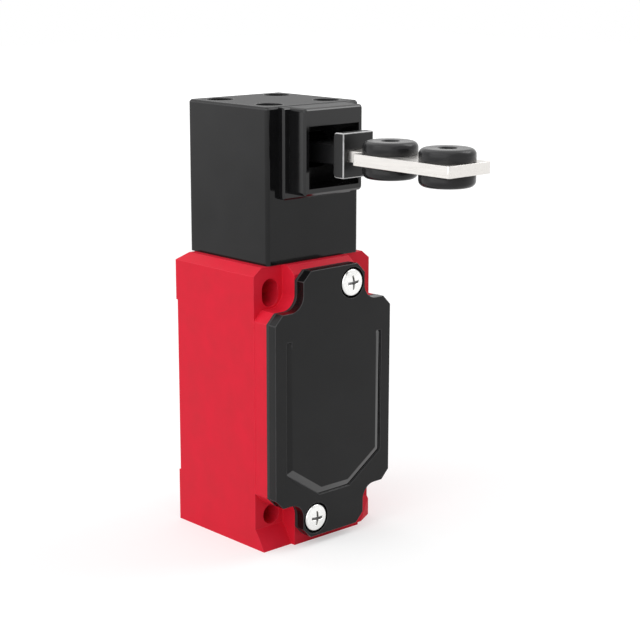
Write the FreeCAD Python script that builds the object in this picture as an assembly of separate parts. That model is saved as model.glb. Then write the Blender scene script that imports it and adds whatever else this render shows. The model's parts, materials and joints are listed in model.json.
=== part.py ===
import FreeCAD, Part
import math
import os

# Tongue interlock switch: a die-cast body with a front cover, a head that takes a coded key from the
# front, and a key plate carried on two rubber bushes. All sizes are millimetres.
# Frame: origin at the centre of the conduit entry's mouth, X to the right, Y to the rear, Z up.

# Body, with the fixing pattern that sets its scale
BODY_WIDTH = 41.0
BODY_HEIGHT = 75.5
REAR_Y = 18.0
FACE_Y = -19.15
EAR_Y = -14.4
LIP_Y = -17.9
TOP_CHAMFER_RUN = 2.65
TOP_CHAMFER_DROP = 2.04
FIX_SPACING_X = 30.0
FIX_SPACING_Z = 60.0
FIX_LOW_Z = 8.6
FIX_DIAMETER = 5.4
FIX_SLOT_LENGTH = 7.4
RELIEF_DEPTH = 0.6
RELIEF_LOW_Z = 14.4
RELIEF_HIGH_Z = 62.5
WALL = 2.6
CAVITY_REAR_Y = 15.0
CAVITY_TOP_Z = 65.5
CAVITY_FLOOR_Z = 5.0
SCREW_END_Y = 13.5
LOWER_BOSS_Z = 12.5
LOWER_BOSS_REAR_Y = -9.6
LOWER_CAVITY_HALF_WIDTH = 10.6
CONDUIT_DIAMETER = 18.5
LIP_RAMP_HEIGHT = 5.4
LIP_ARC = (-16.64, 2.27)
PAD_INSET = 0.1
CORNER_CUT_X = 12.5
FOOT_EDGE_Z = 2.5
CORNER_CUT_Y = -15.0
REST_RAIL_HALF_WIDTH = 2.6
REST_RAIL_TOP_Z = 57.0
EARTH_POST_HALF_WIDTH = 3.2

# Cover and its gasket
GASKET_THICKNESS = 1.0
GASKET_INSET = 0.05
COVER_FRONT_Y = -22.8
COVER_HALF_HEIGHT = 36.0
COVER_END_HALF_WIDTH = 10.85
COVER_END_CHAMFER = 2.6
NOTCH_RADIUS = 4.15
LEDGE_X = 17.9
SPIGOT_DEPTH = 1.6
SPIGOT_THICKNESS = 1.2
SPIGOT_GAP = 0.3
PANEL_CENTRE_X = 0.25
PANEL_HALF_WIDTH = 16.9
PANEL_TOP_LEFT_Z = 57.0
PANEL_TOP_RIGHT_Z = 55.2
PANEL_SIDE_LOW_Z = 21.6
PANEL_LOW_Z = 13.9
PANEL_FOOT_HALF_WIDTH = 5.4
PANEL_BEVEL = 1.9
PANEL_DEPTH = 0.5
COVER_SCREW_X = 6.4
COVER_SCREW_OFFSET_Z = 31.0
COVER_SCREW_HEAD_RADIUS = 3.75
COVER_SCREW_COUNTERBORE = 4.2
COVER_SCREW_SEAT_Y = -20.95
COVER_SCREW_PROUD = 0.6
COVER_SCREW_END_Y = -11.5
COVER_SCREW_RADIUS = 2.0
COVER_RECESS = (2.2, 0.45, 1.3)

# Head, standing on the body
HEAD_WIDTH = 32.0
HEAD_FRONT_Y = -14.7
HEAD_REAR_Y = 17.3
HEAD_TOP_Z = 116.15
HEAD_EDGE = 1.0
HEAD_TOP_BEVEL = 0.6
HEAD_GASKET_THICKNESS = 0.6
HEAD_GASKET_INSET = 2.2
HEAD_SCREW_OFFSET = 9.9
HEAD_SCREW_RADIUS = 1.75
HEAD_SCREW_HEAD_RADIUS = 3.4
HEAD_COUNTERBORE = 3.55
HEAD_COUNTERBORE_DEPTH = 3.6
HEAD_SCREW_HEAD_HEIGHT = 1.8
HEAD_SCREW_END_Z = 67.7
HEAD_RECESS = (1.9, 0.4, 1.2)
HEAD_CAVITY_HALF_WIDTH = 7.2
HEAD_CAVITY_FRONT_Y = -11.4
HEAD_CAVITY_REAR_Y = 13.5
HEAD_CAVITY_TOP_Z = 108.5

# Key guide, let into the head's front
GUIDE_HALF_WIDTH = 10.2
GUIDE_LOW_Z = 93.8
GUIDE_HIGH_Z = 115.95
GUIDE_FRONT_Y = -22.4
GUIDE_EDGE = 1.0
GUIDE_FRONT_BEVEL = 0.6
FLANGE_HALF_WIDTH = 12.2
FLANGE_LOW_Z = 92.4
FLANGE_THICKNESS = 2.0
FLANGE_CORNER = 1.0
FLANGE_BEVEL = 0.5
MOUTH_HALF_WIDTH = 8.65
MOUTH_LOW_Z = 95.55
MOUTH_HIGH_Z = 111.4
GUIDE_SPIGOT_WALL = 0.75
GUIDE_BACK_THICKNESS = 1.2
THROAT_HALF_WIDTH = 6.6
THROAT_LOW_Z = 99.4
THROAT_HIGH_Z = 109.0
THROAT_CORNER = 2.5

# Key: a steel plate with a tongue, a moulded collar and two rubber bushes
KEY_Z = 104.4
KEY_THICKNESS = 2.9
PLATE_HALF_WIDTH = 7.35
PLATE_FRONT_Y = -68.9
PLATE_REAR_Y = -36.6
TONGUE_HALF_WIDTH = 3.6
TONGUE_WINDOW_HALF_WIDTH = 1.8
TONGUE_WINDOW_LENGTH = 6.0
TIP_BAR = 3.0
PLATE_CORNER = 0.6
TONGUE_CORNER = 0.7
WINDOW_CORNER = 0.5
COLLAR_HALF_WIDTH = 5.15
COLLAR_LOW_Z = 98.8
COLLAR_HIGH_Z = 110.2
COLLAR_FRONT_Y = -31.2
COLLAR_REAR_Y = -27.5
COLLAR_EDGE = 1.2
SLEEVE_HALF_WIDTH = 4.3
SLEEVE_HEIGHT = 5.0
SLEEVE_REAR_Y = -16.8
BUSH_RADIUS = 6.9
BUSH_HEIGHT = 9.2
BUSH_HOLE_RADIUS = 2.2
BUSH_WAIST_RADIUS = 4.9
BUSH_EDGE = 1.5
BUSH_EDGE_STEP = 0.3
BUSH_Y = {"inner_bush": -42.5, "outer_bush": -61.6}

# Travel: the key slides straight, and each millimetre turns the rotor by ROTOR_RATE degrees
AXIS_Y = 1.3
ROTOR_Z = 96.4
KEY_OUT = -3.6
KEY_IN = 8.0
ROTOR_SWING = 36.0
ROTOR_RATE = 2.0 * ROTOR_SWING / (KEY_IN - KEY_OUT)
PLUNGER_LIFT = 3.0
BAR_CENTRE_Y = AXIS_Y - 0.5 * (KEY_IN + KEY_OUT)
ROTOR_REST = -ROTOR_SWING - KEY_OUT * ROTOR_RATE

# Rotor and the cage that carries it
TOOTH_RADIUS = 10.4
NOTCH_HALF_WIDTH = 2.45
NOTCH_FLOOR_RADIUS = 6.0
TOOTH_END_ANGLE = 40.0
WEB_HALF_THICKNESS = 1.4
DRUM_RADIUS = 6.0
DRUM_HALF_WIDTH = 4.7
DRUM_EDGE = 1.2
TOOTH_ROOT_DEPTH = 1.0
TOOTH_HEEL_DEPTH = 1.5
TOOTH_HEEL_ANGLE = 48.0
CAM_MEAN_RADIUS = 7.9
CAM_OVERRUN = 15.0
CAM_STEPS = 8
AXLE_RADIUS = 2.0
AXLE_CLEARANCE = 0.05
CAGE_HALF_WIDTH = 7.1
CAGE_CHEEK = 2.0
CAGE_BASE_THICKNESS = 3.4
CAGE_CHEEK_TOP_Z = 101.0
CAGE_CHEEK_HALF_DEPTH = 6.5
CAGE_CHEEK_BEVEL = 3.4
CAGE_GAP = 0.1

# Plunger, its spring and seal
PLUNGER_RADIUS = 3.0
PLUNGER_CLEARANCE = 0.06
PLUNGER_GAP = 0.65
PLUNGER_EDGE = 1.0
PLUNGER_PASSAGE_RADIUS = 4.0
PLUNGER_LOW_Z = 63.0
SPRING_SEAT_RADIUS = 4.8
SPRING_SEAT_DROP = 2.6
SPRING_SEAT_THICKNESS = 1.3
SEAL_RADIUS = 4.6
SEAL_THICKNESS = 1.8
SEAL_LIP_RELIEF = 1.0
SPRING_WIRE = 0.8
SPRING_MEAN_RADIUS = 4.1
SPRING_TURNS = 4.0
SPRING_END_GAP = 0.05
SPRING_RUNS_A_TURN = 8
SPRING_WIRE_SIDES = 4

# Contact block in the body
BLOCK_HALF_WIDTH = 15.2
BLOCK_LOW_Z = 27.0
BLOCK_HIGH_Z = 59.0
BLOCK_FRONT_Y = -3.0
BLOCK_STEP_Y = 3.5
BLOCK_REAR_Y = 7.5
BLOCK_SCREW_X = 11.2
BLOCK_SCREW_Z = 31.2
BLOCK_COUNTERBORE = 2.9
CHAMBER_MARGIN = 1.2
CHAMBER_HALF_LENGTH = 10.2
CARRIER_HALF_WIDTH = 4.0
CARRIER_FRONT_Y = -5.0
CARRIER_REAR_Y = 6.6
CARRIER_LOW_Z = 32.5
CARRIER_TOP_Z = 57.5
CARRIER_NECK_RADIUS = 2.6
CARRIER_GAP = 0.3
CARRIER_SPRING_FLOOR = 1.6
CARRIER_SPRING = (2.2, 0.6, 2.5)
BRIDGE_HALF_LENGTH = 9.4
BRIDGE_HALF_WIDTH = 2.0
BRIDGE_THICKNESS = 1.0
BRIDGE_CORNER = 0.8
BRIDGE_WINDOW_GAP = 0.1
BRIDGE_SPRING_HEIGHT = 4.0
BRIDGE_SPRING = (1.4, 0.5, 4.0)
CLOSING_BRIDGE_Z = 51.0
OPENING_BRIDGE_Z = 39.5
BRIDGE_Y = -0.8
BUTTON_RADIUS = 1.5
BUTTON_TOP_RADIUS = 1.05
BUTTON_HEIGHT = 0.8
BUTTON_X = 7.6
CONTACT_GAP = 0.15
STRIP_THICKNESS = 1.2
STRIP_INNER_X = 6.0
STRIP_OUTER_X = 10.0
STRIP_REAR_Y = 1.6
PAD_INNER_X = 9.65
PAD_OUTER_X = 15.0
PAD_HALF_HEIGHT = 3.0
TERMINAL_X = 12.2
TERMINAL_SCREW_RADIUS = 1.5
TERMINAL_HEAD_RADIUS = 2.6
TERMINAL_HEAD_HEIGHT = 1.9
CLAMP_HALF_SIZE = 2.5
CLAMP_THICKNESS = 0.9
SMALL_SLOT = (3.0, 0.35, 0.9)
BLOCK_SCREW_RADIUS = 1.5
BLOCK_SCREW_HEAD_RADIUS = 2.6
BLOCK_SCREW_HEAD_HEIGHT = 2.0
EARTH_X = 12.6
EARTH_Z = 20.6
EARTH_POST_Y = 6.0

MID_Z = FIX_LOW_Z + 0.5 * FIX_SPACING_Z
FIX_HIGH_Z = FIX_LOW_Z + FIX_SPACING_Z
HALF_WIDTH = 0.5 * BODY_WIDTH
FIX_X = 0.5 * FIX_SPACING_X
COVER_REAR_Y = FACE_Y - GASKET_THICKNESS
HEAD_LOW_Z = BODY_HEIGHT + HEAD_GASKET_THICKNESS
HEAD_HALF_WIDTH = 0.5 * HEAD_WIDTH
TIP_REAR_Y = BAR_CENTRE_Y + 0.5 * TIP_BAR
SMALL_GAP = 0.02
SCREW_SIDES = 8
HEAD_SIDES = 16
HEAD_BEVEL = 0.35
ROUND_SIDES = 24
SCREW_CLEARANCE = 0.2
OVERLAP = 1.0
CORNER_TAN = math.tan(math.radians(22.5))


def vec(x, y, z):
    return FreeCAD.Vector(x, y, z)


def box(x, y, z):
    """A box from three (low, high) pairs."""
    return Part.makeBox(x[1] - x[0], y[1] - y[0], z[1] - z[0], vec(x[0], y[0], z[0]))


def rod(radius, start, end):
    """A round bar between two points."""
    start = vec(*start)
    along = vec(*end) - start
    return Part.makeCylinder(radius, along.Length, start, along)


def flat_face(points):
    return Part.Face(Part.makePolygon(points + points[:1]))


def skinned(rings, twisted=False):
    """A closed solid through a row of like outlines, its side faces flat or split in two where they twist."""
    faces = [flat_face(rings[0]), flat_face(rings[-1])]
    for near, far in zip(rings, rings[1:]):
        for i in range(len(near)):
            j = (i + 1) % len(near)
            if twisted:
                faces.extend([flat_face([near[i], near[j], far[j]]), flat_face([near[i], far[j], far[i]])])
            else:
                faces.append(flat_face([near[i], near[j], far[j], far[i]]))
    solid = Part.makeSolid(Part.makeShell(faces))
    if solid.Volume < 0:
        solid.reverse()
    return solid


def turned(rings, centre, axis, sides):
    """A turned piece drawn with flat sides, from (radius, height) rings stacked along an axis."""
    turns = [2 * math.pi * i / sides for i in range(sides)]
    outlines = [[vec(r * math.cos(t), r * math.sin(t), height) for t in turns] for r, height in rings]
    shape = skinned(outlines)
    shape.Placement = FreeCAD.Placement(vec(*centre), FreeCAD.Rotation(vec(0, 0, 1), vec(*axis)))
    return shape


def screw_hole(radius, start, end):
    """A screw's plain hole, drawn with flat sides that clear the screw's own."""
    start = vec(*start)
    along = vec(*end) - start
    apothem = radius / math.cos(math.pi / SCREW_SIDES)
    return turned([(apothem, 0), (apothem, along.Length)], tuple(start), tuple(along), SCREW_SIDES)


def cut(shape, tools):
    for tool in tools:
        shape = shape.cut(tool)
    return shape


def fuse(shapes):
    whole = shapes[0]
    for shape in shapes[1:]:
        whole = whole.fuse(shape)
    return whole.removeSplitter()


def prism(steps, along):
    """Extrude a closed outline. A step of one point is a straight run, of two an arc through the first."""
    edges = []
    here = steps[-1][-1]
    for step in steps:
        if (vec(*step[-1]) - vec(*here)).Length > 1e-6:
            if len(step) == 2:
                edges.append(Part.Arc(vec(*here), vec(*step[0]), vec(*step[1])).toShape())
            else:
                edges.append(Part.LineSegment(vec(*here), vec(*step[0])).toShape())
        here = step[-1]
    return Part.Face(Part.Wire(edges)).extrude(vec(*along))


def edges_where(shape, test):
    return [edge for edge in shape.Edges if test(edge)]


def runs_along(edge, axis):
    """True for a straight edge parallel to one axis."""
    if not isinstance(edge.Curve, (Part.Line, Part.LineSegment)):
        return False
    ends = [vertex.Point for vertex in edge.Vertexes]
    step = ends[1] - ends[0]
    return abs(abs(getattr(step, axis)) - step.Length) < 1e-6


def rounded_box(x, y, z, radius, axis):
    """A box with its four edges along one axis rounded."""
    block = box(x, y, z)
    return block.makeFillet(radius, edges_where(block, lambda edge: runs_along(edge, axis)))


def cover_outline(inset, y):
    """The cover's outline in the plane y, shrunk by inset: chamfered ends, an arc round each fixing hole."""
    end_x = COVER_END_HALF_WIDTH - inset
    top = COVER_HALF_HEIGHT - inset
    side = HALF_WIDTH - inset
    hole = 0.5 * FIX_SPACING_Z
    radius = NOTCH_RADIUS + inset
    diagonal = radius * math.sqrt(0.5)
    ledge_x = LEDGE_X - CORNER_TAN * inset
    drop = HALF_WIDTH - LEDGE_X - (1 - CORNER_TAN) * inset
    quarter = [
        [(end_x - COVER_END_CHAMFER + CORNER_TAN * inset, top)],
        [(end_x, top - COVER_END_CHAMFER + CORNER_TAN * inset)],
        [(FIX_X - radius, hole)],
        [(FIX_X - diagonal, hole - diagonal), (FIX_X, hole - radius)],
        [(ledge_x, hole - radius)],
        [(side, hole - radius - drop)],
    ]
    steps = []
    for sign_x, sign_z in ((1, 1), (1, -1), (-1, -1), (-1, 1)):
        turn = [[(sign_x * p[0], y, MID_Z + sign_z * p[1]) for p in step] for step in quarter]
        if sign_x * sign_z < 0:
            turn = reverse_steps(turn)
        steps.extend(turn)
    return steps


def reverse_steps(steps):
    """The same open outline walked from its other end."""
    points = [step[-1] for step in steps]
    back = []
    for i in range(len(steps) - 1, -1, -1):
        arc_into_next = i + 1 < len(steps) and len(steps[i + 1]) == 2
        back.append([steps[i + 1][0], points[i]] if arc_into_next else [points[i]])
    return back


def cover_prism(inset, y_start, y_end):
    return prism(cover_outline(inset, y_start), (0, y_end - y_start, 0))


def fixing_cutters():
    """Two round holes below and two upright slots above, right through the body."""
    radius = 0.5 * FIX_DIAMETER
    reach = 0.5 * (FIX_SLOT_LENGTH - FIX_DIAMETER)
    cutters = []
    for x in (-FIX_X, FIX_X):
        cutters.append(rod(radius, (x, FACE_Y, FIX_LOW_Z), (x, REAR_Y, FIX_LOW_Z)))
        low, high = FIX_HIGH_Z - reach, FIX_HIGH_Z + reach
        slot = box((x - radius, x + radius), (FACE_Y, REAR_Y), (low, high))
        ends = [rod(radius, (x, FACE_Y, z), (x, REAR_Y, z)) for z in (low, high)]
        cutters.append(fuse([slot] + ends))
    return cutters


def body_envelope():
    """The body's block, with its top face chamfered all round."""
    shoulder = BODY_HEIGHT - TOP_CHAMFER_DROP

    def ring(inset, z):
        x = HALF_WIDTH - inset
        front, rear = FACE_Y + inset, REAR_Y - inset
        points = [(-x, front, z), (x, front, z), (x, rear, z), (-x, rear, z)]
        return Part.makePolygon([vec(*p) for p in points + points[:1]])

    crown = Part.makeLoft([ring(0, shoulder), ring(TOP_CHAMFER_RUN, BODY_HEIGHT)], True, True)
    base = box((-HALF_WIDTH, HALF_WIDTH), (FACE_Y, REAR_Y), (0, shoulder))
    return fuse([base, crown])


def body_blank():
    """The casting's outside: a raised face for the cover, set-back ears, and a lip along the foot."""
    end_x = COVER_END_HALF_WIDTH
    root_y = EAR_Y + OVERLAP
    rear = box((-HALF_WIDTH, HALF_WIDTH), (EAR_Y, REAR_Y), (0, BODY_HEIGHT))
    pad = cover_prism(PAD_INSET, FACE_Y, root_y)
    top_pad = box((-end_x, end_x), (FACE_Y, root_y), (FIX_HIGH_Z, BODY_HEIGHT))
    foot_pad = box((-end_x, end_x), (FACE_Y, root_y), (0, FIX_LOW_Z))
    foot_edge = box((0, CORNER_CUT_X), (FACE_Y, root_y), (0, FOOT_EDGE_Z))
    lip = prism(
        [
            [(-HALF_WIDTH, root_y, 0)],
            [(-HALF_WIDTH, LIP_Y, 0)],
            [(-HALF_WIDTH, *LIP_ARC), (-HALF_WIDTH, EAR_Y, LIP_RAMP_HEIGHT)],
            [(-HALF_WIDTH, root_y, LIP_RAMP_HEIGHT)],
        ],
        (BODY_WIDTH, 0, 0),
    )
    blank = fuse([rear, pad, top_pad, foot_pad, foot_edge, lip]).common(body_envelope())
    corner = prism(
        [
            [(CORNER_CUT_X, FACE_Y, 0)],
            [(HALF_WIDTH, CORNER_CUT_Y, 0)],
            [(HALF_WIDTH, FACE_Y, 0)],
        ],
        (0, 0, FIX_LOW_Z),
    )
    relief = box((-HALF_WIDTH, HALF_WIDTH), (REAR_Y - RELIEF_DEPTH, REAR_Y), (RELIEF_LOW_Z, RELIEF_HIGH_Z))
    return cut(blank, [corner, relief])


def body_housing():
    upper = cover_prism(WALL, FACE_Y, CAVITY_REAR_Y).common(
        box((-HALF_WIDTH, HALF_WIDTH), (FACE_Y, CAVITY_REAR_Y), (LOWER_BOSS_Z, CAVITY_TOP_Z))
    )
    lower = box(
        (-LOWER_CAVITY_HALF_WIDTH, LOWER_CAVITY_HALF_WIDTH),
        (LOWER_BOSS_REAR_Y, CAVITY_REAR_Y),
        (CAVITY_FLOOR_Z, LOWER_BOSS_Z + OVERLAP),
    )
    conduit = rod(0.5 * CONDUIT_DIAMETER, (0, 0, 0), (0, 0, CAVITY_FLOOR_Z))
    passage = rod(PLUNGER_PASSAGE_RADIUS, (0, AXIS_Y, CAVITY_TOP_Z), (0, AXIS_Y, BODY_HEIGHT))
    body = cut(body_blank(), [upper, lower, conduit, passage] + fixing_cutters())

    half = REST_RAIL_HALF_WIDTH
    blocks = [box((x - half, x + half), (BLOCK_REAR_Y, CAVITY_REAR_Y), (z - half, REST_RAIL_TOP_Z))
              for x, z in block_screw_places()]
    half = EARTH_POST_HALF_WIDTH
    blocks.append(box((EARTH_X - half, EARTH_X + half), (EARTH_POST_Y, CAVITY_REAR_Y),
                      (EARTH_Z - half, EARTH_Z + half)))
    body = fuse([body] + blocks)

    holes = []
    end_y = SCREW_END_Y + SMALL_GAP
    for x, z in cover_screw_places():
        bottom = (x, COVER_SCREW_END_Y + OVERLAP, z)
        holes.append(screw_hole(COVER_SCREW_RADIUS + SMALL_GAP, (x, FACE_Y, z), bottom))
    for x, y in head_screw_places():
        bottom = (x, y, HEAD_SCREW_END_Z - OVERLAP)
        holes.append(screw_hole(HEAD_SCREW_RADIUS + SMALL_GAP, (x, y, BODY_HEIGHT), bottom))
    for x, z in block_screw_places():
        holes.append(screw_hole(BLOCK_SCREW_RADIUS + SMALL_GAP, (x, BLOCK_REAR_Y, z), (x, end_y, z)))
    holes.append(screw_hole(TERMINAL_SCREW_RADIUS + SMALL_GAP, (EARTH_X, EARTH_POST_Y, EARTH_Z),
                            (EARTH_X, end_y, EARTH_Z)))
    return cut(body, holes)


def cover_screw_places():
    return [(COVER_SCREW_X, MID_Z + COVER_SCREW_OFFSET_Z), (-COVER_SCREW_X, MID_Z - COVER_SCREW_OFFSET_Z)]


def head_screw_places():
    offset = HEAD_SCREW_OFFSET
    return [(x, AXIS_Y + y) for x in (-offset, offset) for y in (-offset, offset)]


def block_screw_places():
    return [(-BLOCK_SCREW_X, BLOCK_SCREW_Z), (BLOCK_SCREW_X, BLOCK_SCREW_Z)]


def cover_gasket():
    """A flat rubber frame between cover and body."""
    ring = cover_prism(GASKET_INSET, COVER_REAR_Y, FACE_Y)
    inner = cover_prism(WALL, COVER_REAR_Y, FACE_Y).common(
        box((-HALF_WIDTH, HALF_WIDTH), (COVER_REAR_Y, FACE_Y), (LOWER_BOSS_Z, CAVITY_TOP_Z))
    )
    radius = COVER_SCREW_RADIUS + SCREW_CLEARANCE
    holes = [screw_hole(radius, (x, COVER_REAR_Y, z), (x, FACE_Y, z)) for x, z in cover_screw_places()]
    return cut(ring, [inner] + holes)


def panel_points(inset, y):
    """The bare panel's outline: straight sides, and a foot with two slanted corners."""
    side = PANEL_HALF_WIDTH - inset
    slant = math.atan2(PANEL_SIDE_LOW_Z - PANEL_LOW_Z, PANEL_HALF_WIDTH - PANEL_FOOT_HALF_WIDTH)
    foot = PANEL_FOOT_HALF_WIDTH - inset * math.tan(0.5 * slant)
    corner = PANEL_SIDE_LOW_Z + inset * math.tan(0.25 * math.pi - 0.5 * slant)
    low = PANEL_LOW_Z + inset
    outline = [(foot, low), (side, corner), (side, PANEL_TOP_RIGHT_Z - inset),
               (-side, PANEL_TOP_LEFT_Z - inset), (-side, corner), (-foot, low)]
    return [(PANEL_CENTRE_X + x, y, z) for x, z in outline]


def panel_channel():
    """The saw-tooth channel round the panel: deepest at its outer wall, running out at the panel's edge."""
    deep = COVER_FRONT_Y + PANEL_DEPTH

    def loop(inset, y):
        points = panel_points(inset, y)
        return Part.makePolygon([vec(*p) for p in points + points[:1]])

    raised = Part.makeLoft([loop(0, deep), loop(PANEL_BEVEL, COVER_FRONT_Y)], True, True)
    block = Part.Face(loop(0, deep)).extrude(vec(0, -PANEL_DEPTH, 0))
    reach = PANEL_HALF_WIDTH - PANEL_BEVEL
    middle_x = (PANEL_CENTRE_X - reach, PANEL_CENTRE_X + reach)
    middle = box(middle_x, (COVER_FRONT_Y, deep), (MID_Z, PANEL_TOP_LEFT_Z))
    return cut(block, [raised, middle])


def front_cover():
    plate = cover_prism(0, COVER_FRONT_Y, COVER_REAR_Y)
    rim_y = (COVER_REAR_Y, FACE_Y + SPIGOT_DEPTH)

    def spigot(inset):
        clip = box((-HALF_WIDTH, HALF_WIDTH), rim_y, (LOWER_BOSS_Z + inset, CAVITY_TOP_Z - inset))
        return cover_prism(WALL + inset, *rim_y).common(clip)

    rim = spigot(SPIGOT_GAP).cut(spigot(SPIGOT_GAP + SPIGOT_THICKNESS))
    cover = fuse([plate, rim]).cut(panel_channel())
    tools = []
    depth = COVER_SCREW_SEAT_Y - COVER_FRONT_Y
    counterbore = [(COVER_SCREW_COUNTERBORE, 0), (COVER_SCREW_COUNTERBORE, depth)]
    for x, z in cover_screw_places():
        tools.append(turned(counterbore, (x, COVER_SCREW_SEAT_Y, z), (0, -1, 0), ROUND_SIDES))
        tools.append(screw_hole(COVER_SCREW_RADIUS + SCREW_CLEARANCE, (x, COVER_FRONT_Y, z), (x, FACE_Y, z)))
    return cut(cover, tools)


def pan_screw(radius, head_radius, seat, head_height, length, axis):
    """A round-headed screw, drawn with flat sides: its head narrows towards the top in one bevel."""
    bevel = HEAD_BEVEL * head_height
    head = turned([(head_radius, 0), (head_radius, head_height - bevel), (head_radius - bevel, head_height)],
                  seat, axis, HEAD_SIDES)
    shank = turned([(radius, -length), (radius, head_height - bevel)], seat, axis, SCREW_SIDES)
    return fuse([head, shank])


def cross_recess(centre, axis, sizes):
    """A cross-shaped driver recess, cut in from the head's top: half span, half width and depth."""
    span, width, depth = sizes
    cross = fuse([
        box((-span, span), (-width, width), (-depth, OVERLAP)),
        box((-width, width), (-span, span), (-depth, OVERLAP)),
    ])
    cross.Placement = FreeCAD.Placement(vec(*centre), FreeCAD.Rotation(vec(0, 0, 1), vec(*axis)))
    return cross


def slot_recess(centre, axis, sizes):
    """A plain driver slot, cut in from the head's top: half span, half width and depth."""
    span, width, depth = sizes
    slot = box((-span, span), (-width, width), (-depth, OVERLAP))
    slot.Placement = FreeCAD.Placement(vec(*centre), FreeCAD.Rotation(vec(0, 0, 1), vec(*axis)))
    return slot


def cover_screws():
    top = COVER_FRONT_Y - COVER_SCREW_PROUD
    height = COVER_SCREW_SEAT_Y - top
    length = COVER_SCREW_END_Y - COVER_SCREW_SEAT_Y
    screws = []
    for x, z in cover_screw_places():
        seat = (x, COVER_SCREW_SEAT_Y, z)
        screw = pan_screw(COVER_SCREW_RADIUS, COVER_SCREW_HEAD_RADIUS, seat, height, length, (0, -1, 0))
        screws.append(screw.cut(cross_recess((x, top, z), (0, -1, 0), COVER_RECESS)))
    return Part.makeCompound(screws)


def head_gasket():
    """A flat rubber sheet in the pocket under the head."""
    x = HEAD_HALF_WIDTH - HEAD_GASKET_INSET
    front, rear = HEAD_FRONT_Y + HEAD_GASKET_INSET, HEAD_REAR_Y - HEAD_GASKET_INSET
    sheet = box((-x, x), (front, rear), (BODY_HEIGHT, HEAD_LOW_Z))
    passage = [(PLUNGER_PASSAGE_RADIUS, 0), (PLUNGER_PASSAGE_RADIUS, HEAD_GASKET_THICKNESS)]
    holes = [turned(passage, (0, AXIS_Y, BODY_HEIGHT), (0, 0, 1), ROUND_SIDES)]
    radius = HEAD_SCREW_RADIUS + SCREW_CLEARANCE
    for hx, hy in head_screw_places():
        holes.append(screw_hole(radius, (hx, hy, BODY_HEIGHT), (hx, hy, HEAD_LOW_Z)))
    return cut(sheet, holes)


def head_housing():
    """The head's block, hollow for the cage, with a pocket below that takes the gasket's thickness."""
    block = box((-HEAD_HALF_WIDTH, HEAD_HALF_WIDTH), (HEAD_FRONT_Y, HEAD_REAR_Y), (BODY_HEIGHT, HEAD_TOP_Z))
    block = block.makeFillet(HEAD_EDGE, edges_where(block, lambda edge: runs_along(edge, "z")))
    top = edges_where(block, lambda edge: edge.BoundBox.ZMin > HEAD_TOP_Z - OVERLAP)
    block = block.makeChamfer(HEAD_TOP_BEVEL, top)
    inset = HEAD_GASKET_INSET - SMALL_GAP
    pocket = box(
        (inset - HEAD_HALF_WIDTH, HEAD_HALF_WIDTH - inset),
        (HEAD_FRONT_Y + inset, HEAD_REAR_Y - inset),
        (BODY_HEIGHT, HEAD_LOW_Z),
    )
    cavity = box(
        (-HEAD_CAVITY_HALF_WIDTH, HEAD_CAVITY_HALF_WIDTH),
        (HEAD_CAVITY_FRONT_Y, HEAD_CAVITY_REAR_Y),
        (HEAD_LOW_Z, HEAD_CAVITY_TOP_Z),
    )
    seat = MOUTH_HALF_WIDTH + GUIDE_SPIGOT_WALL + SMALL_GAP
    socket = box(
        (-seat, seat),
        (HEAD_FRONT_Y, HEAD_CAVITY_FRONT_Y),
        (MOUTH_LOW_Z - GUIDE_SPIGOT_WALL - SMALL_GAP, MOUTH_HIGH_Z + GUIDE_SPIGOT_WALL + SMALL_GAP),
    )
    tools = [pocket, cavity, socket]
    seat_z = HEAD_TOP_Z - HEAD_COUNTERBORE_DEPTH
    counterbore = [(HEAD_COUNTERBORE, 0), (HEAD_COUNTERBORE, HEAD_COUNTERBORE_DEPTH)]
    for x, y in head_screw_places():
        tools.append(screw_hole(HEAD_SCREW_RADIUS + SCREW_CLEARANCE, (x, y, HEAD_LOW_Z), (x, y, seat_z)))
        tools.append(turned(counterbore, (x, y, seat_z), (0, 0, 1), ROUND_SIDES))
    return cut(block, tools)


def head_screws():
    seat_z = HEAD_TOP_Z - HEAD_COUNTERBORE_DEPTH
    screws = []
    for x, y in head_screw_places():
        screw = pan_screw(HEAD_SCREW_RADIUS, HEAD_SCREW_HEAD_RADIUS, (x, y, seat_z), HEAD_SCREW_HEAD_HEIGHT,
                          seat_z - HEAD_SCREW_END_Z, (0, 0, 1))
        top = seat_z + HEAD_SCREW_HEAD_HEIGHT
        screws.append(screw.cut(cross_recess((x, y, top), (0, 0, 1), HEAD_RECESS)))
    return Part.makeCompound(screws)


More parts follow.
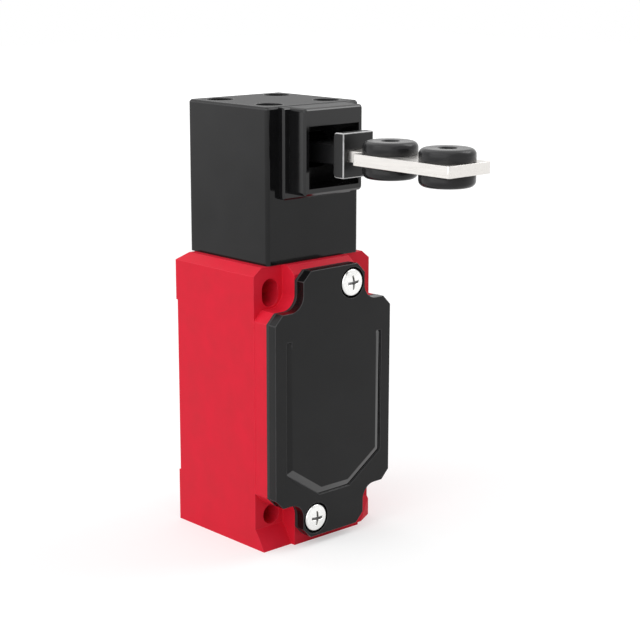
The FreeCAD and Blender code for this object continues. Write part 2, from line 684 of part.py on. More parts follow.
def key_guide():
    """The mouth that steers the key: a flanged block with a deep opening and a throat to the rotor."""
    flange = box(
        (-FLANGE_HALF_WIDTH, FLANGE_HALF_WIDTH),
        (HEAD_FRONT_Y - FLANGE_THICKNESS, HEAD_FRONT_Y),
        (FLANGE_LOW_Z, GUIDE_HIGH_Z),
    )
    feet = edges_where(flange, lambda edge: runs_along(edge, "y") and edge.BoundBox.ZMax < GUIDE_LOW_Z)
    flange = flange.makeFillet(FLANGE_CORNER, feet)
    rim_y = HEAD_FRONT_Y - FLANGE_THICKNESS + SMALL_GAP
    flange = flange.makeChamfer(FLANGE_BEVEL, edges_where(flange, lambda edge: edge.BoundBox.YMax < rim_y))
    block = rounded_box(
        (-GUIDE_HALF_WIDTH, GUIDE_HALF_WIDTH),
        (GUIDE_FRONT_Y, HEAD_FRONT_Y),
        (GUIDE_LOW_Z, GUIDE_HIGH_Z),
        GUIDE_EDGE,
        "y",
    )
    front = edges_where(block, lambda edge: edge.BoundBox.YMax < GUIDE_FRONT_Y + OVERLAP)
    block = block.makeChamfer(GUIDE_FRONT_BEVEL, front)
    seat = MOUTH_HALF_WIDTH + GUIDE_SPIGOT_WALL
    spigot = box(
        (-seat, seat),
        (HEAD_FRONT_Y, HEAD_CAVITY_FRONT_Y),
        (MOUTH_LOW_Z - GUIDE_SPIGOT_WALL, MOUTH_HIGH_Z + GUIDE_SPIGOT_WALL),
    )
    back_y = HEAD_CAVITY_FRONT_Y - GUIDE_BACK_THICKNESS
    mouth = box((-MOUTH_HALF_WIDTH, MOUTH_HALF_WIDTH), (GUIDE_FRONT_Y, back_y), (MOUTH_LOW_Z, MOUTH_HIGH_Z))
    throat = rounded_box(
        (-THROAT_HALF_WIDTH, THROAT_HALF_WIDTH),
        (back_y - OVERLAP, HEAD_CAVITY_FRONT_Y),
        (THROAT_LOW_Z, THROAT_HIGH_Z),
        THROAT_CORNER,
        "y",
    )
    return cut(fuse([flange, block, spigot]), [mouth, throat])


def polar(radius, angle):
    """A point in the rotor's plane: angle from straight up, towards the rear."""
    turn = math.radians(angle)
    return (radius * math.sin(turn), radius * math.cos(turn))


def cam_radius(angle):
    """The cam's radius at an angle from the notch: it grows evenly, so the plunger follows the key evenly."""
    return CAM_MEAN_RADIUS + 0.5 * PLUNGER_LIFT * (angle - 180.0) / ROTOR_SWING


def rotor():
    """Two teeth round a notch above, a spiral cam below, and a drum on each side."""
    wall_angle = math.degrees(math.asin(NOTCH_HALF_WIDTH / TOOTH_RADIUS))
    cam_start = 180.0 - ROTOR_SWING - CAM_OVERRUN
    cam_end = 180.0 + ROTOR_SWING + CAM_OVERRUN
    cam_step = (cam_end - cam_start) / CAM_STEPS
    cam_points = []
    for i in range(CAM_STEPS + 1):
        angle = cam_start + i * cam_step
        cam_points.append((-WEB_HALF_THICKNESS, *polar(cam_radius(angle), angle)))

    def tooth(sign):
        inner = (sign * NOTCH_HALF_WIDTH, NOTCH_FLOOR_RADIUS - TOOTH_ROOT_DEPTH)
        corner = polar(TOOTH_RADIUS, sign * wall_angle)
        crest = polar(TOOTH_RADIUS, sign * 0.5 * (wall_angle + TOOTH_END_ANGLE))
        heel = polar(TOOTH_RADIUS, sign * TOOTH_END_ANGLE)
        root = polar(DRUM_RADIUS - TOOTH_HEEL_DEPTH, sign * TOOTH_HEEL_ANGLE)
        return prism(
            [
                [(-WEB_HALF_THICKNESS, 0, 0)],
                [(-WEB_HALF_THICKNESS, *inner)],
                [(-WEB_HALF_THICKNESS, *corner)],
                [(-WEB_HALF_THICKNESS, *crest), (-WEB_HALF_THICKNESS, *heel)],
                [(-WEB_HALF_THICKNESS, *root)],
            ],
            (2 * WEB_HALF_THICKNESS, 0, 0),
        )

    spiral = [[cam_points[i], cam_points[i + 1]] for i in range(1, CAM_STEPS, 2)]
    start = [[(-WEB_HALF_THICKNESS, 0, 0)], [cam_points[0]]]
    cam = prism(start + spiral, (2 * WEB_HALF_THICKNESS, 0, 0))
    shoulder = DRUM_HALF_WIDTH - DRUM_EDGE
    small = DRUM_RADIUS - DRUM_EDGE
    end = DRUM_HALF_WIDTH
    rings = [(small, -end), (DRUM_RADIUS, -shoulder), (DRUM_RADIUS, shoulder), (small, end)]
    drum = turned(rings, (0, 0, 0), (1, 0, 0), ROUND_SIDES)
    hub = fuse([drum, tooth(1), tooth(-1), cam])
    hub = hub.cut(rod(AXLE_RADIUS + AXLE_CLEARANCE, (-DRUM_HALF_WIDTH, 0, 0), (DRUM_HALF_WIDTH, 0, 0)))
    hub.rotate(vec(0, 0, 0), vec(1, 0, 0), -ROTOR_REST)
    hub.translate(vec(0, AXIS_Y, ROTOR_Z))
    return hub


def rotor_axle():
    reach = CAGE_HALF_WIDTH - CAGE_GAP
    return rod(AXLE_RADIUS, (-reach, AXIS_Y, ROTOR_Z), (reach, AXIS_Y, ROTOR_Z))


def rotor_cage():
    """A moulded cradle put in from below: two cheeks with the axle's bores, and a base round the plunger."""
    half = CAGE_HALF_WIDTH
    front, rear = AXIS_Y - CAGE_CHEEK_HALF_DEPTH, AXIS_Y + CAGE_CHEEK_HALF_DEPTH
    base_top = HEAD_LOW_Z + CAGE_BASE_THICKNESS
    root_z = base_top - OVERLAP
    bevel_z = CAGE_CHEEK_TOP_Z - CAGE_CHEEK_BEVEL
    base_y = (HEAD_CAVITY_FRONT_Y + CAGE_GAP, HEAD_CAVITY_REAR_Y - CAGE_GAP)
    base = box((-half, half), base_y, (HEAD_LOW_Z, base_top))
    cheeks = []
    for x in (-half, half - CAGE_CHEEK):
        outline = [(front, root_z), (front, bevel_z), (front + CAGE_CHEEK_BEVEL, CAGE_CHEEK_TOP_Z),
                   (rear - CAGE_CHEEK_BEVEL, CAGE_CHEEK_TOP_Z), (rear, bevel_z), (rear, root_z)]
        cheeks.append(flat_face([vec(x, y, z) for y, z in outline]).extrude(vec(CAGE_CHEEK, 0, 0)))
    cage = fuse([base] + cheeks)
    guide = rod(PLUNGER_RADIUS + PLUNGER_CLEARANCE, (0, AXIS_Y, HEAD_LOW_Z), (0, AXIS_Y, base_top))
    seal_seat = turned([(SEAL_RADIUS, 0), (SEAL_RADIUS, SEAL_THICKNESS)], (0, AXIS_Y, HEAD_LOW_Z), (0, 0, 1),
                       ROUND_SIDES)
    bore = rod(AXLE_RADIUS, (-half, AXIS_Y, ROTOR_Z), (half, AXIS_Y, ROTOR_Z))
    return cut(cage, [guide, seal_seat, bore])


def plunger_top_z():
    return ROTOR_Z - cam_radius(180.0 - ROTOR_REST) - PLUNGER_GAP


def plunger():
    top = plunger_top_z()
    shoulder = top - PLUNGER_EDGE
    seat_low = top - SPRING_SEAT_DROP
    stem = rod(PLUNGER_RADIUS, (0, AXIS_Y, PLUNGER_LOW_Z), (0, AXIS_Y, seat_low + OVERLAP))
    tip_rings = [
        (SPRING_SEAT_RADIUS, seat_low),
        (SPRING_SEAT_RADIUS, seat_low + SPRING_SEAT_THICKNESS),
        (PLUNGER_RADIUS, seat_low + SPRING_SEAT_THICKNESS),
        (PLUNGER_RADIUS, shoulder),
        (PLUNGER_RADIUS - PLUNGER_EDGE, top),
    ]
    return fuse([stem, turned(tip_rings, (0, AXIS_Y, 0), (0, 0, 1), ROUND_SIDES)])


def coil_spring(low_z, high_z, x, y, mean_radius, wire, turns):
    """A compression spring: its wire follows a helix in short straight runs, and is drawn with flat sides."""
    rise = high_z - low_z - wire
    count = int(turns * SPRING_RUNS_A_TURN)
    points = []
    for i in range(count + 1):
        turn = 2 * math.pi * i / SPRING_RUNS_A_TURN
        points.append(vec(x + mean_radius * math.cos(turn), y + mean_radius * math.sin(turn),
                          low_z + 0.5 * wire + rise * i / count))
    sections = []
    for i, point in enumerate(points):
        turn = 2 * math.pi * i / SPRING_RUNS_A_TURN
        outward = vec(math.cos(turn), math.sin(turn), 0)
        sections.append([point + outward * (0.5 * wire * math.cos(a)) + vec(0, 0, 0.5 * wire * math.sin(a))
                         for a in (2 * math.pi * j / SPRING_WIRE_SIDES for j in range(SPRING_WIRE_SIDES))])
    return skinned(sections, True)


def plunger_spring():
    low = HEAD_LOW_Z + CAGE_BASE_THICKNESS + SPRING_END_GAP
    high = plunger_top_z() - SPRING_SEAT_DROP - SPRING_END_GAP
    return coil_spring(low, high, 0, AXIS_Y, SPRING_MEAN_RADIUS, SPRING_WIRE, SPRING_TURNS)


def plunger_seal():
    """A rubber ring with a lip round the plunger, held in the cage's underside."""
    base = (0, AXIS_Y, HEAD_LOW_Z)
    bore = PLUNGER_RADIUS + PLUNGER_CLEARANCE
    ring = turned([(SEAL_RADIUS, 0), (SEAL_RADIUS, SEAL_THICKNESS)], base, (0, 0, 1), ROUND_SIDES)
    inner = [(bore + SEAL_LIP_RELIEF, 0), (bore, SEAL_LIP_RELIEF), (bore, SEAL_THICKNESS)]
    return ring.cut(turned(inner, base, (0, 0, 1), ROUND_SIDES))


def plunger_travel():
    """How far the plunger moves down and up from rest as the key goes out and in."""
    rate = PLUNGER_LIFT / (KEY_IN - KEY_OUT)
    return KEY_OUT * rate, KEY_IN * rate


def contact_block():
    """The insulating block: a shaft for the carrier, chambers for the bridges and seats for the terminals."""
    down, up = plunger_travel()
    block = box(
        (-BLOCK_HALF_WIDTH, BLOCK_HALF_WIDTH),
        (BLOCK_FRONT_Y, BLOCK_REAR_Y),
        (BLOCK_LOW_Z, BLOCK_HIGH_Z),
    )
    shaft = box(
        (-CARRIER_HALF_WIDTH - CARRIER_GAP, CARRIER_HALF_WIDTH + CARRIER_GAP),
        (BLOCK_FRONT_Y, CARRIER_REAR_Y + CARRIER_GAP),
        (BLOCK_LOW_Z + CARRIER_SPRING_FLOOR, BLOCK_HIGH_Z),
    )
    tools = [shaft]
    room = BUTTON_HEIGHT + STRIP_THICKNESS + CHAMBER_MARGIN
    for z in (CLOSING_BRIDGE_Z, OPENING_BRIDGE_Z):
        tools.append(box((-CHAMBER_HALF_LENGTH, CHAMBER_HALF_LENGTH), (BLOCK_FRONT_Y, BLOCK_STEP_Y),
                         (z + down - room, z + BRIDGE_THICKNESS + up + room)))
    holes = []
    for x, z in block_screw_places():
        holes.append((BLOCK_SCREW_RADIUS + SCREW_CLEARANCE, x, z, BLOCK_REAR_Y))
        holes.append((BLOCK_COUNTERBORE, x, z, BLOCK_STEP_Y))
    for x, z in terminal_places():
        holes.append((TERMINAL_SCREW_RADIUS + SMALL_GAP, x, z, BLOCK_STEP_Y))
    tools.extend(screw_hole(radius, (x, BLOCK_FRONT_Y, z), (x, end_y, z)) for radius, x, z, end_y in holes)
    return cut(block, tools)


def strip_levels():
    """The height of each pair of fixed strips: above the closing bridge, and below the opening one."""
    down, up = plunger_travel()
    closing = CLOSING_BRIDGE_Z + BRIDGE_THICKNESS + BUTTON_HEIGHT + up + CONTACT_GAP
    opening = OPENING_BRIDGE_Z - BUTTON_HEIGHT + down - CONTACT_GAP - STRIP_THICKNESS
    return {"closing": closing, "opening": opening}


def terminal_places():
    levels = [z + 0.5 * STRIP_THICKNESS for z in strip_levels().values()]
    return [(side * TERMINAL_X, z) for z in levels for side in (-1, 1)]


def fixed_contacts(level):
    """Two fixed strips: each runs from its contact inside the block to its terminal on the front."""
    z = strip_levels()[level]
    middle = z + 0.5 * STRIP_THICKNESS
    front = BLOCK_FRONT_Y - STRIP_THICKNESS
    strips = []
    for side in (-1, 1):
        blade_x = sorted((side * STRIP_INNER_X, side * STRIP_OUTER_X))
        blade = box(blade_x, (front, STRIP_REAR_Y), (z, z + STRIP_THICKNESS))
        pad_x = sorted((side * PAD_INNER_X, side * PAD_OUTER_X))
        pad = box(pad_x, (front, BLOCK_FRONT_Y), (middle - PAD_HALF_HEIGHT, middle + PAD_HALF_HEIGHT))
        x = side * TERMINAL_X
        hole = screw_hole(TERMINAL_SCREW_RADIUS + SMALL_GAP, (x, front, middle), (x, BLOCK_FRONT_Y, middle))
        strips.append(fuse([blade, pad]).cut(hole))
    return Part.makeCompound(strips)


def contact_bridge(z, button_side):
    """A springy strip with a contact button at each end, facing the fixed strips."""
    strip = rounded_box(
        (-BRIDGE_HALF_LENGTH, BRIDGE_HALF_LENGTH),
        (BRIDGE_Y - BRIDGE_HALF_WIDTH, BRIDGE_Y + BRIDGE_HALF_WIDTH),
        (z, z + BRIDGE_THICKNESS),
        BRIDGE_CORNER,
        "z",
    )
    face = z + BRIDGE_THICKNESS if button_side > 0 else z
    rings = [(BUTTON_RADIUS, 0), (BUTTON_TOP_RADIUS, BUTTON_HEIGHT)]
    buttons = [turned(rings, (x, BRIDGE_Y, face), (0, 0, button_side), SCREW_SIDES)
               for x in (-BUTTON_X, BUTTON_X)]
    return fuse([strip] + buttons)


def contact_carrier():
    """The sliding piece under the plunger, with a window for each bridge and its spring."""
    wide = (-CARRIER_HALF_WIDTH, CARRIER_HALF_WIDTH)
    body = box(wide, (CARRIER_FRONT_Y, CARRIER_REAR_Y), (CARRIER_LOW_Z, CARRIER_TOP_Z))
    neck_root, neck_top = CARRIER_TOP_Z - OVERLAP, PLUNGER_LOW_Z - SPRING_END_GAP
    neck = rod(CARRIER_NECK_RADIUS, (0, AXIS_Y, neck_root), (0, AXIS_Y, neck_top))
    half_y = BRIDGE_HALF_WIDTH + BRIDGE_WINDOW_GAP
    span_y = (BRIDGE_Y - half_y, BRIDGE_Y + half_y)
    opening_top = OPENING_BRIDGE_Z + BRIDGE_THICKNESS + BRIDGE_SPRING_HEIGHT
    windows = [
        box(wide, span_y, (CLOSING_BRIDGE_Z - BRIDGE_SPRING_HEIGHT, CLOSING_BRIDGE_Z + BRIDGE_THICKNESS)),
        box(wide, span_y, (OPENING_BRIDGE_Z, opening_top)),
    ]
    return cut(fuse([body, neck]), windows)


def bridge_springs():
    springs = []
    for low in (CLOSING_BRIDGE_Z - BRIDGE_SPRING_HEIGHT, OPENING_BRIDGE_Z + BRIDGE_THICKNESS):
        springs.append(coil_spring(low, low + BRIDGE_SPRING_HEIGHT, 0, BRIDGE_Y, *BRIDGE_SPRING))
    return Part.makeCompound(springs)


def carrier_spring():
    low = BLOCK_LOW_Z + CARRIER_SPRING_FLOOR + SPRING_END_GAP
    return coil_spring(low, CARRIER_LOW_Z - SPRING_END_GAP, 0, AXIS_Y, *CARRIER_SPRING)


def clamp_plate(x, seat_y, z):
    """A square clamping plate that a terminal screw presses on the wire."""
    half = CLAMP_HALF_SIZE
    front = seat_y - CLAMP_THICKNESS
    plate = box((x - half, x + half), (front, seat_y), (z - half, z + half))
    return plate.cut(screw_hole(TERMINAL_SCREW_RADIUS + SCREW_CLEARANCE, (x, front, z), (x, seat_y, z)))


def clamp_screw(x, seat_y, z, end_y):
    """The screw that holds a clamping plate, its head on the plate's front."""
    front = seat_y - CLAMP_THICKNESS
    seat = (x, front, z)
    screw = pan_screw(TERMINAL_SCREW_RADIUS, TERMINAL_HEAD_RADIUS, seat, TERMINAL_HEAD_HEIGHT, end_y - front,
                      (0, -1, 0))
    return screw.cut(slot_recess((x, front - TERMINAL_HEAD_HEIGHT, z), (0, -1, 0), SMALL_SLOT))


def terminal_clamps():
    seat_y = BLOCK_FRONT_Y - STRIP_THICKNESS
    return Part.makeCompound([clamp_plate(x, seat_y, z) for x, z in terminal_places()])


def terminal_screws():
    seat_y = BLOCK_FRONT_Y - STRIP_THICKNESS
    end_y = BLOCK_STEP_Y - OVERLAP
    return Part.makeCompound([clamp_screw(x, seat_y, z, end_y) for x, z in terminal_places()])


def contact_block_screws():
    screws = []
    for x, z in block_screw_places():
        seat = (x, BLOCK_STEP_Y, z)
        screw = pan_screw(BLOCK_SCREW_RADIUS, BLOCK_SCREW_HEAD_RADIUS, seat, BLOCK_SCREW_HEAD_HEIGHT,
                          SCREW_END_Y - BLOCK_STEP_Y, (0, -1, 0))
        top = (x, BLOCK_STEP_Y - BLOCK_SCREW_HEAD_HEIGHT, z)
        screws.append(screw.cut(slot_recess(top, (0, -1, 0), SMALL_SLOT)))
    return Part.makeCompound(screws)


def earth_clamp():
    return clamp_plate(EARTH_X, EARTH_POST_Y, EARTH_Z)


def earth_screw():
    return clamp_screw(EARTH_X, EARTH_POST_Y, EARTH_Z, SCREW_END_Y)


def key_plate():
    """One steel stamping: the wide mounting end, the neck, and the tongue with its window and tip bar."""
    low, high = KEY_Z - 0.5 * KEY_THICKNESS, KEY_Z + 0.5 * KEY_THICKNESS
    wide = rounded_box(
        (-PLATE_HALF_WIDTH, PLATE_HALF_WIDTH), (PLATE_FRONT_Y, PLATE_REAR_Y), (low, high), PLATE_CORNER, "z"
    )
    tongue_x = (-TONGUE_HALF_WIDTH, TONGUE_HALF_WIDTH)
    tongue = rounded_box(tongue_x, (PLATE_REAR_Y - OVERLAP, TIP_REAR_Y), (low, high), TONGUE_CORNER, "z")
    window_end = TIP_REAR_Y - TIP_BAR
    window = rounded_box(
        (-TONGUE_WINDOW_HALF_WIDTH, TONGUE_WINDOW_HALF_WIDTH),
        (window_end - TONGUE_WINDOW_LENGTH, window_end),
        (low, high),
        WINDOW_CORNER,
        "z",
    )
    waist = [(BUSH_WAIST_RADIUS, 0), (BUSH_WAIST_RADIUS, KEY_THICKNESS)]
    holes = [turned(waist, (0, y, low), (0, 0, 1), ROUND_SIDES) for y in BUSH_Y.values()]
    return cut(fuse([wide, tongue]), [window] + holes)


def key_collar():
    """The moulded stop on the neck, with rounded rear edges, and its sleeve round the tongue behind it."""
    block = box(
        (-COLLAR_HALF_WIDTH, COLLAR_HALF_WIDTH),
        (COLLAR_FRONT_Y, COLLAR_REAR_Y),
        (COLLAR_LOW_Z, COLLAR_HIGH_Z),
    )
    rear_y = COLLAR_REAR_Y - SMALL_GAP
    rear = edges_where(block, lambda edge: edge.BoundBox.YMin > rear_y and not runs_along(edge, "z"))
    block = block.makeFillet(COLLAR_EDGE, rear)
    half = 0.5 * SLEEVE_HEIGHT
    sleeve = box(
        (-SLEEVE_HALF_WIDTH, SLEEVE_HALF_WIDTH),
        (COLLAR_REAR_Y - OVERLAP, SLEEVE_REAR_Y),
        (KEY_Z - half, KEY_Z + half),
    )
    grip = 0.5 * KEY_THICKNESS
    tongue = box(
        (-TONGUE_HALF_WIDTH, TONGUE_HALF_WIDTH),
        (COLLAR_FRONT_Y, SLEEVE_REAR_Y),
        (KEY_Z - grip, KEY_Z + grip),
    )
    return fuse([block, sleeve]).cut(tongue)


def bush(y):
    """A rubber bush: two rounded flanges, the waist between them that grips the plate, and a screw hole."""
    half = 0.5 * BUSH_HEIGHT
    grip = 0.5 * KEY_THICKNESS
    step = BUSH_EDGE_STEP * BUSH_EDGE
    rings = [(BUSH_RADIUS, grip), (BUSH_RADIUS, half - BUSH_EDGE), (BUSH_RADIUS - step, half - step),
             (BUSH_RADIUS - BUSH_EDGE, half)]
    flanges = [turned(rings, (0, y, KEY_Z), (0, 0, side), ROUND_SIDES) for side in (-1, 1)]
    waist_rings = [(BUSH_WAIST_RADIUS, -grip), (BUSH_WAIST_RADIUS, grip)]
    waist = turned(waist_rings, (0, y, KEY_Z), (0, 0, 1), ROUND_SIDES)
    hole = rod(BUSH_HOLE_RADIUS, (0, y, KEY_Z - half), (0, y, KEY_Z + half))
    return fuse(flanges + [waist]).cut(hole)


def main():
    os.makedirs("parts", exist_ok=True)
    nodes = {
        "body_housing": body_housing(),
        "cover_gasket": cover_gasket(),
        "front_cover": front_cover(),
        "cover_screws": cover_screws(),
        "head_gasket": head_gasket(),
        "head_housing": head_housing(),
        "head_screws": head_screws(),
        "key_guide": key_guide(),
        "rotor_cage": rotor_cage(),
        "rotor": rotor(),
        "rotor_axle": rotor_axle(),
        "plunger": plunger(),
        "plunger_spring": plunger_spring(),
        "plunger_seal": plunger_seal(),
        "contact_block": contact_block(),
        "contact_block_screws": contact_block_screws(),
        "contact_carrier": contact_carrier(),
        "carrier_spring": carrier_spring(),
        "closing_bridge": contact_bridge(CLOSING_BRIDGE_Z, 1),
        "opening_bridge": contact_bridge(OPENING_BRIDGE_Z, -1),
        "bridge_springs": bridge_springs(),
        "closing_contacts": fixed_contacts("closing"),
        "opening_contacts": fixed_contacts("opening"),
        "terminal_clamps": terminal_clamps(),
        "terminal_screws": terminal_screws(),
        "earth_clamp": earth_clamp(),
        "earth_screw": earth_screw(),
        "key_plate": key_plate(),
        "key_collar": key_collar(),
    }
    for name, y in BUSH_Y.items():
        nodes[name] = bush(y)
    for name, shape in nodes.items():
        print(name, len(shape.Solids), "solids", round(shape.Volume, 1), "mm3", shape.isValid())
        shape.exportStep("parts/" + name + ".step")


main()
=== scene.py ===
# %% [markdown]
# # Tongue interlock switch
# A safety switch for a machine guard. A red die-cast body holds the contacts, a black head holds a rotor, and a
# steel key on two rubber bushes slides into the head when the guard closes. This lesson dresses the measured
# CAD frame: it keeps each piece where it is and gives it the edges, turned forms and finishes of the real one.

# %% Load the fixed frame
import json

import bmesh
import bpy
import numpy as np
from mathutils import Matrix, Vector


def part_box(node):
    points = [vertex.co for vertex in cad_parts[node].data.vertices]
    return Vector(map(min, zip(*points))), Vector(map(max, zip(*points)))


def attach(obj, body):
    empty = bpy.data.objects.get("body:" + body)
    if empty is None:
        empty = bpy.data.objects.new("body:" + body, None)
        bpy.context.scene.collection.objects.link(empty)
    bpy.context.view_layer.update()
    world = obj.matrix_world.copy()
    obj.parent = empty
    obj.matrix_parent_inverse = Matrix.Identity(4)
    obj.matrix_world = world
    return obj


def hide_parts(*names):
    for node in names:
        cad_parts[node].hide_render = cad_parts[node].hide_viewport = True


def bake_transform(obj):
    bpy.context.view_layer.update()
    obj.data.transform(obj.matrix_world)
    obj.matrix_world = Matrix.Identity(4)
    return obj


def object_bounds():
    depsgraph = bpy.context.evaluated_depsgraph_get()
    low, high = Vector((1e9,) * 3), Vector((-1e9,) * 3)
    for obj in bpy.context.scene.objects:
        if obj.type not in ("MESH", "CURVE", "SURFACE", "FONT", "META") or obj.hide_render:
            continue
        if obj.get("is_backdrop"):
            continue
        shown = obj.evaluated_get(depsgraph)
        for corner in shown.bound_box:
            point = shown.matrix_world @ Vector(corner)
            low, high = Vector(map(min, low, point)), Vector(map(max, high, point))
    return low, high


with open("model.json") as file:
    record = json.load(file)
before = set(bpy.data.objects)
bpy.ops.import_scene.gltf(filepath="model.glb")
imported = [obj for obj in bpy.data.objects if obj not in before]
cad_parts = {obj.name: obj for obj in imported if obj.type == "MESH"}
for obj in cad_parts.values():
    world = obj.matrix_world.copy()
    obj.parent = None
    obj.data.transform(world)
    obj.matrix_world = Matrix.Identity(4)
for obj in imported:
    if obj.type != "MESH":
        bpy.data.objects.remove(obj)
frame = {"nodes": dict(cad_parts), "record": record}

cad_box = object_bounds()
nodes = frame["nodes"]
body_of = {node: body for body, members in frame["record"]["behaviour"]["bodies"].items() for node in members}
slot_of = {part["node"]: part["material_slot"] for part in frame["record"]["subparts"]}
MM = 0.001
print("frame pieces:", len(nodes), "box in mm:", [[round(v / MM, 1) for v in corner] for corner in cad_box])


# %% [markdown]
# ## Colours and the one node helper
# Colours are written as sRGB hex values. Blender's shaders want linear light, so one function turns them. One
# more function adds a node with its settings, its values and its links, and every material below is built from it.

# %% Colour and node helpers
def linear(code):
    """sRGB hex to linear RGBA: each channel is raised to about 2.4, with a straight piece near black."""
    channels = np.array([int(code[i:i + 2], 16) for i in (0, 2, 4)]) / 255
    toe = channels / 12.92
    curve = ((channels + 0.055) / 1.055) ** 2.4
    return (*np.where(channels <= 0.04045, toe, curve).tolist(), 1.0)


def add_node(tree, kind, values=None, links=None, **settings):
    """Add one node. settings are its properties, values its socket values, and links the outputs that feed it."""
    node = tree.nodes.new(kind)
    for name, value in settings.items():
        setattr(node, name, value)
    for socket, value in (values or {}).items():
        node.inputs[socket].default_value = value
    for socket, output in (links or {}).items():
        tree.links.new(output, node.inputs[socket])
    return node


def new_finish(name, values):
    """A material with one Principled shader; returns it with its tree, its shader and Object coordinates."""
    material = bpy.data.materials.new(name)
    material.use_nodes = True
    tree = material.node_tree
    shader = tree.nodes["Principled BSDF"]
    for socket, value in values.items():
        shader.inputs[socket].default_value = value
    place = add_node(tree, "ShaderNodeTexCoord").outputs["Object"]
    return material, tree, shader, place


def noise(tree, place, size_mm, detail=3.0, stretch=(1, 1, 1)):
    """A noise whose grains are size_mm across; a stretch below 1 draws them out along its axis."""
    pitch = [s / (size_mm * MM) for s in stretch]
    scaled = add_node(tree, "ShaderNodeMapping", {"Scale": pitch}, {"Vector": place}).outputs["Vector"]
    return add_node(tree, "ShaderNodeTexNoise", {"Scale": 1.0, "Detail": detail}, {"Vector": scaled}).outputs["Fac"]


def spread(tree, factor, low, high, start=0.3, end=0.7):
    """Carry a noise from start..end to low..high."""
    values = {"From Min": start, "From Max": end, "To Min": low, "To Max": high}
    return add_node(tree, "ShaderNodeMapRange", values, {"Value": factor}).outputs["Result"]


def blend_colours(tree, factor, first, second):
    """Two hex colours mixed by a factor."""
    mix = add_node(tree, "ShaderNodeMix", {6: linear(first), 7: linear(second)}, {0: factor}, data_type="RGBA")
    return mix.outputs[2]


def bump(tree, shader, height, depth_mm):
    """Bend the surface's light by a height pattern that is depth_mm deep."""
    values = {"Strength": 1.0, "Distance": depth_mm * MM}
    node = add_node(tree, "ShaderNodeBump", values, {"Height": height})
    tree.links.new(node.outputs["Normal"], shader.inputs["Normal"])


print("mid grey in linear light:", [round(c, 3) for c in linear("808080")])


# %% [markdown]
# ## Powder-coated die casting
# The body is a zinc or aluminium casting with a baked red powder coat. The powder melts and flows, which leaves
# a fine orange-peel skin, and its thickness varies, so the red drifts a little from patch to patch.

# %% Red powder coat
COAT_RED = "E32038"
COAT_DEEP_RED = "D91C32"
COAT_MIRROR = 0.2
COAT_PATCH_MM = 7.0
COAT_ROUGHNESS = (0.5, 0.62)
# Real orange peel is about 0.3 mm across; it is drawn at 0.6 mm so that it shows at this distance.
ORANGE_PEEL_MM = 0.6
ORANGE_PEEL_DEPTH_MM = 0.012


def powder_coat():
    """Baked red powder: its tone and its gloss drift together from patch to patch."""
    material, tree, shader, place = new_finish("baked_red_powder_coat", {"Specular IOR Level": COAT_MIRROR})
    patches = noise(tree, place, COAT_PATCH_MM, detail=5.0)
    colour = blend_colours(tree, spread(tree, patches, 0.0, 1.0), COAT_DEEP_RED, COAT_RED)
    tree.links.new(colour, shader.inputs["Base Color"])
    tree.links.new(spread(tree, patches, *COAT_ROUGHNESS), shader.inputs["Roughness"])
    bump(tree, shader, noise(tree, place, ORANGE_PEEL_MM, detail=2.0), ORANGE_PEEL_DEPTH_MM)
    return material


# %% [markdown]
# ## Black nylon mouldings
# Head, guide, cover and collar are glass-filled nylon from polished moulds. The plastic itself is nearly black,
# so almost all of what the eye sees is the room mirrored in a thin clear skin, a little uneven from the flow.

# %% Glossy and satin nylon
SATIN_ROUGHNESS = 0.45
SATIN_ABOVE_MM = 115.7
SATIN_FADE_MM = 0.1
FLOW_MM = 9.0
FLOW_BLACK = "151516"
RIPPLE_DEPTH_MM = 0.002


def black_nylon(name, colour, roughness, ripple_mm, mirror=0.25):
    """Nearly black plastic. Faces above SATIN_ABOVE_MM, the head's spark-eroded top, are rougher than the sides."""
    material, tree, shader, place = new_finish(name, {"Specular IOR Level": mirror})
    cloud = noise(tree, place, FLOW_MM, detail=4.0)
    polished = spread(tree, cloud, roughness * 0.85, roughness * 1.2)
    height = add_node(tree, "ShaderNodeSeparateXYZ", None, {"Vector": place}).outputs["Z"]
    fade_from = (SATIN_ABOVE_MM - SATIN_FADE_MM) * MM
    satin = {"From Min": fade_from, "From Max": SATIN_ABOVE_MM * MM, "To Max": SATIN_ROUGHNESS}
    links = {"Value": height, "To Min": polished}
    tree.links.new(add_node(tree, "ShaderNodeMapRange", satin, links).outputs["Result"], shader.inputs["Roughness"])
    tone = blend_colours(tree, spread(tree, cloud, 0.0, 1.0), colour, FLOW_BLACK)
    tree.links.new(tone, shader.inputs["Base Color"])
    bump(tree, shader, noise(tree, place, ripple_mm, detail=2.0), RIPPLE_DEPTH_MM)
    return material


COLLAR_BLACK = "141415"
# Size of the patches in which the painted edge highlight comes and goes.
GLINT_PATCH_MM = 2.5


def painted_edge_highlight(name, highlight_colour, dark, roughness, within=None):
    """A painted highlight on the rounded rim of a piece: a colour paler than the piece, in patches that come and go.
    It stays COLLAR_BLACK where within gives 0.
    """
    material, tree, shader, place = new_finish(name, {"Roughness": roughness, "Specular IOR Level": 0.35})
    glint_patches = spread(tree, noise(tree, place, GLINT_PATCH_MM), 0.0, 1.0, 0.2, 0.5)
    colour = blend_colours(tree, glint_patches, dark, highlight_colour)
    if within:
        links = {0: within(tree, place), 7: colour}
        colour = add_node(tree, "ShaderNodeMix", {6: linear(COLLAR_BLACK)}, links, data_type="RGBA").outputs[2]
    tree.links.new(colour, shader.inputs["Base Color"])
    return material


COLLAR_REACH_MM = (4.7, 28.0, 4.9)
COLLAR_CENTRE_MM = (0.0, 0.0, 104.5)


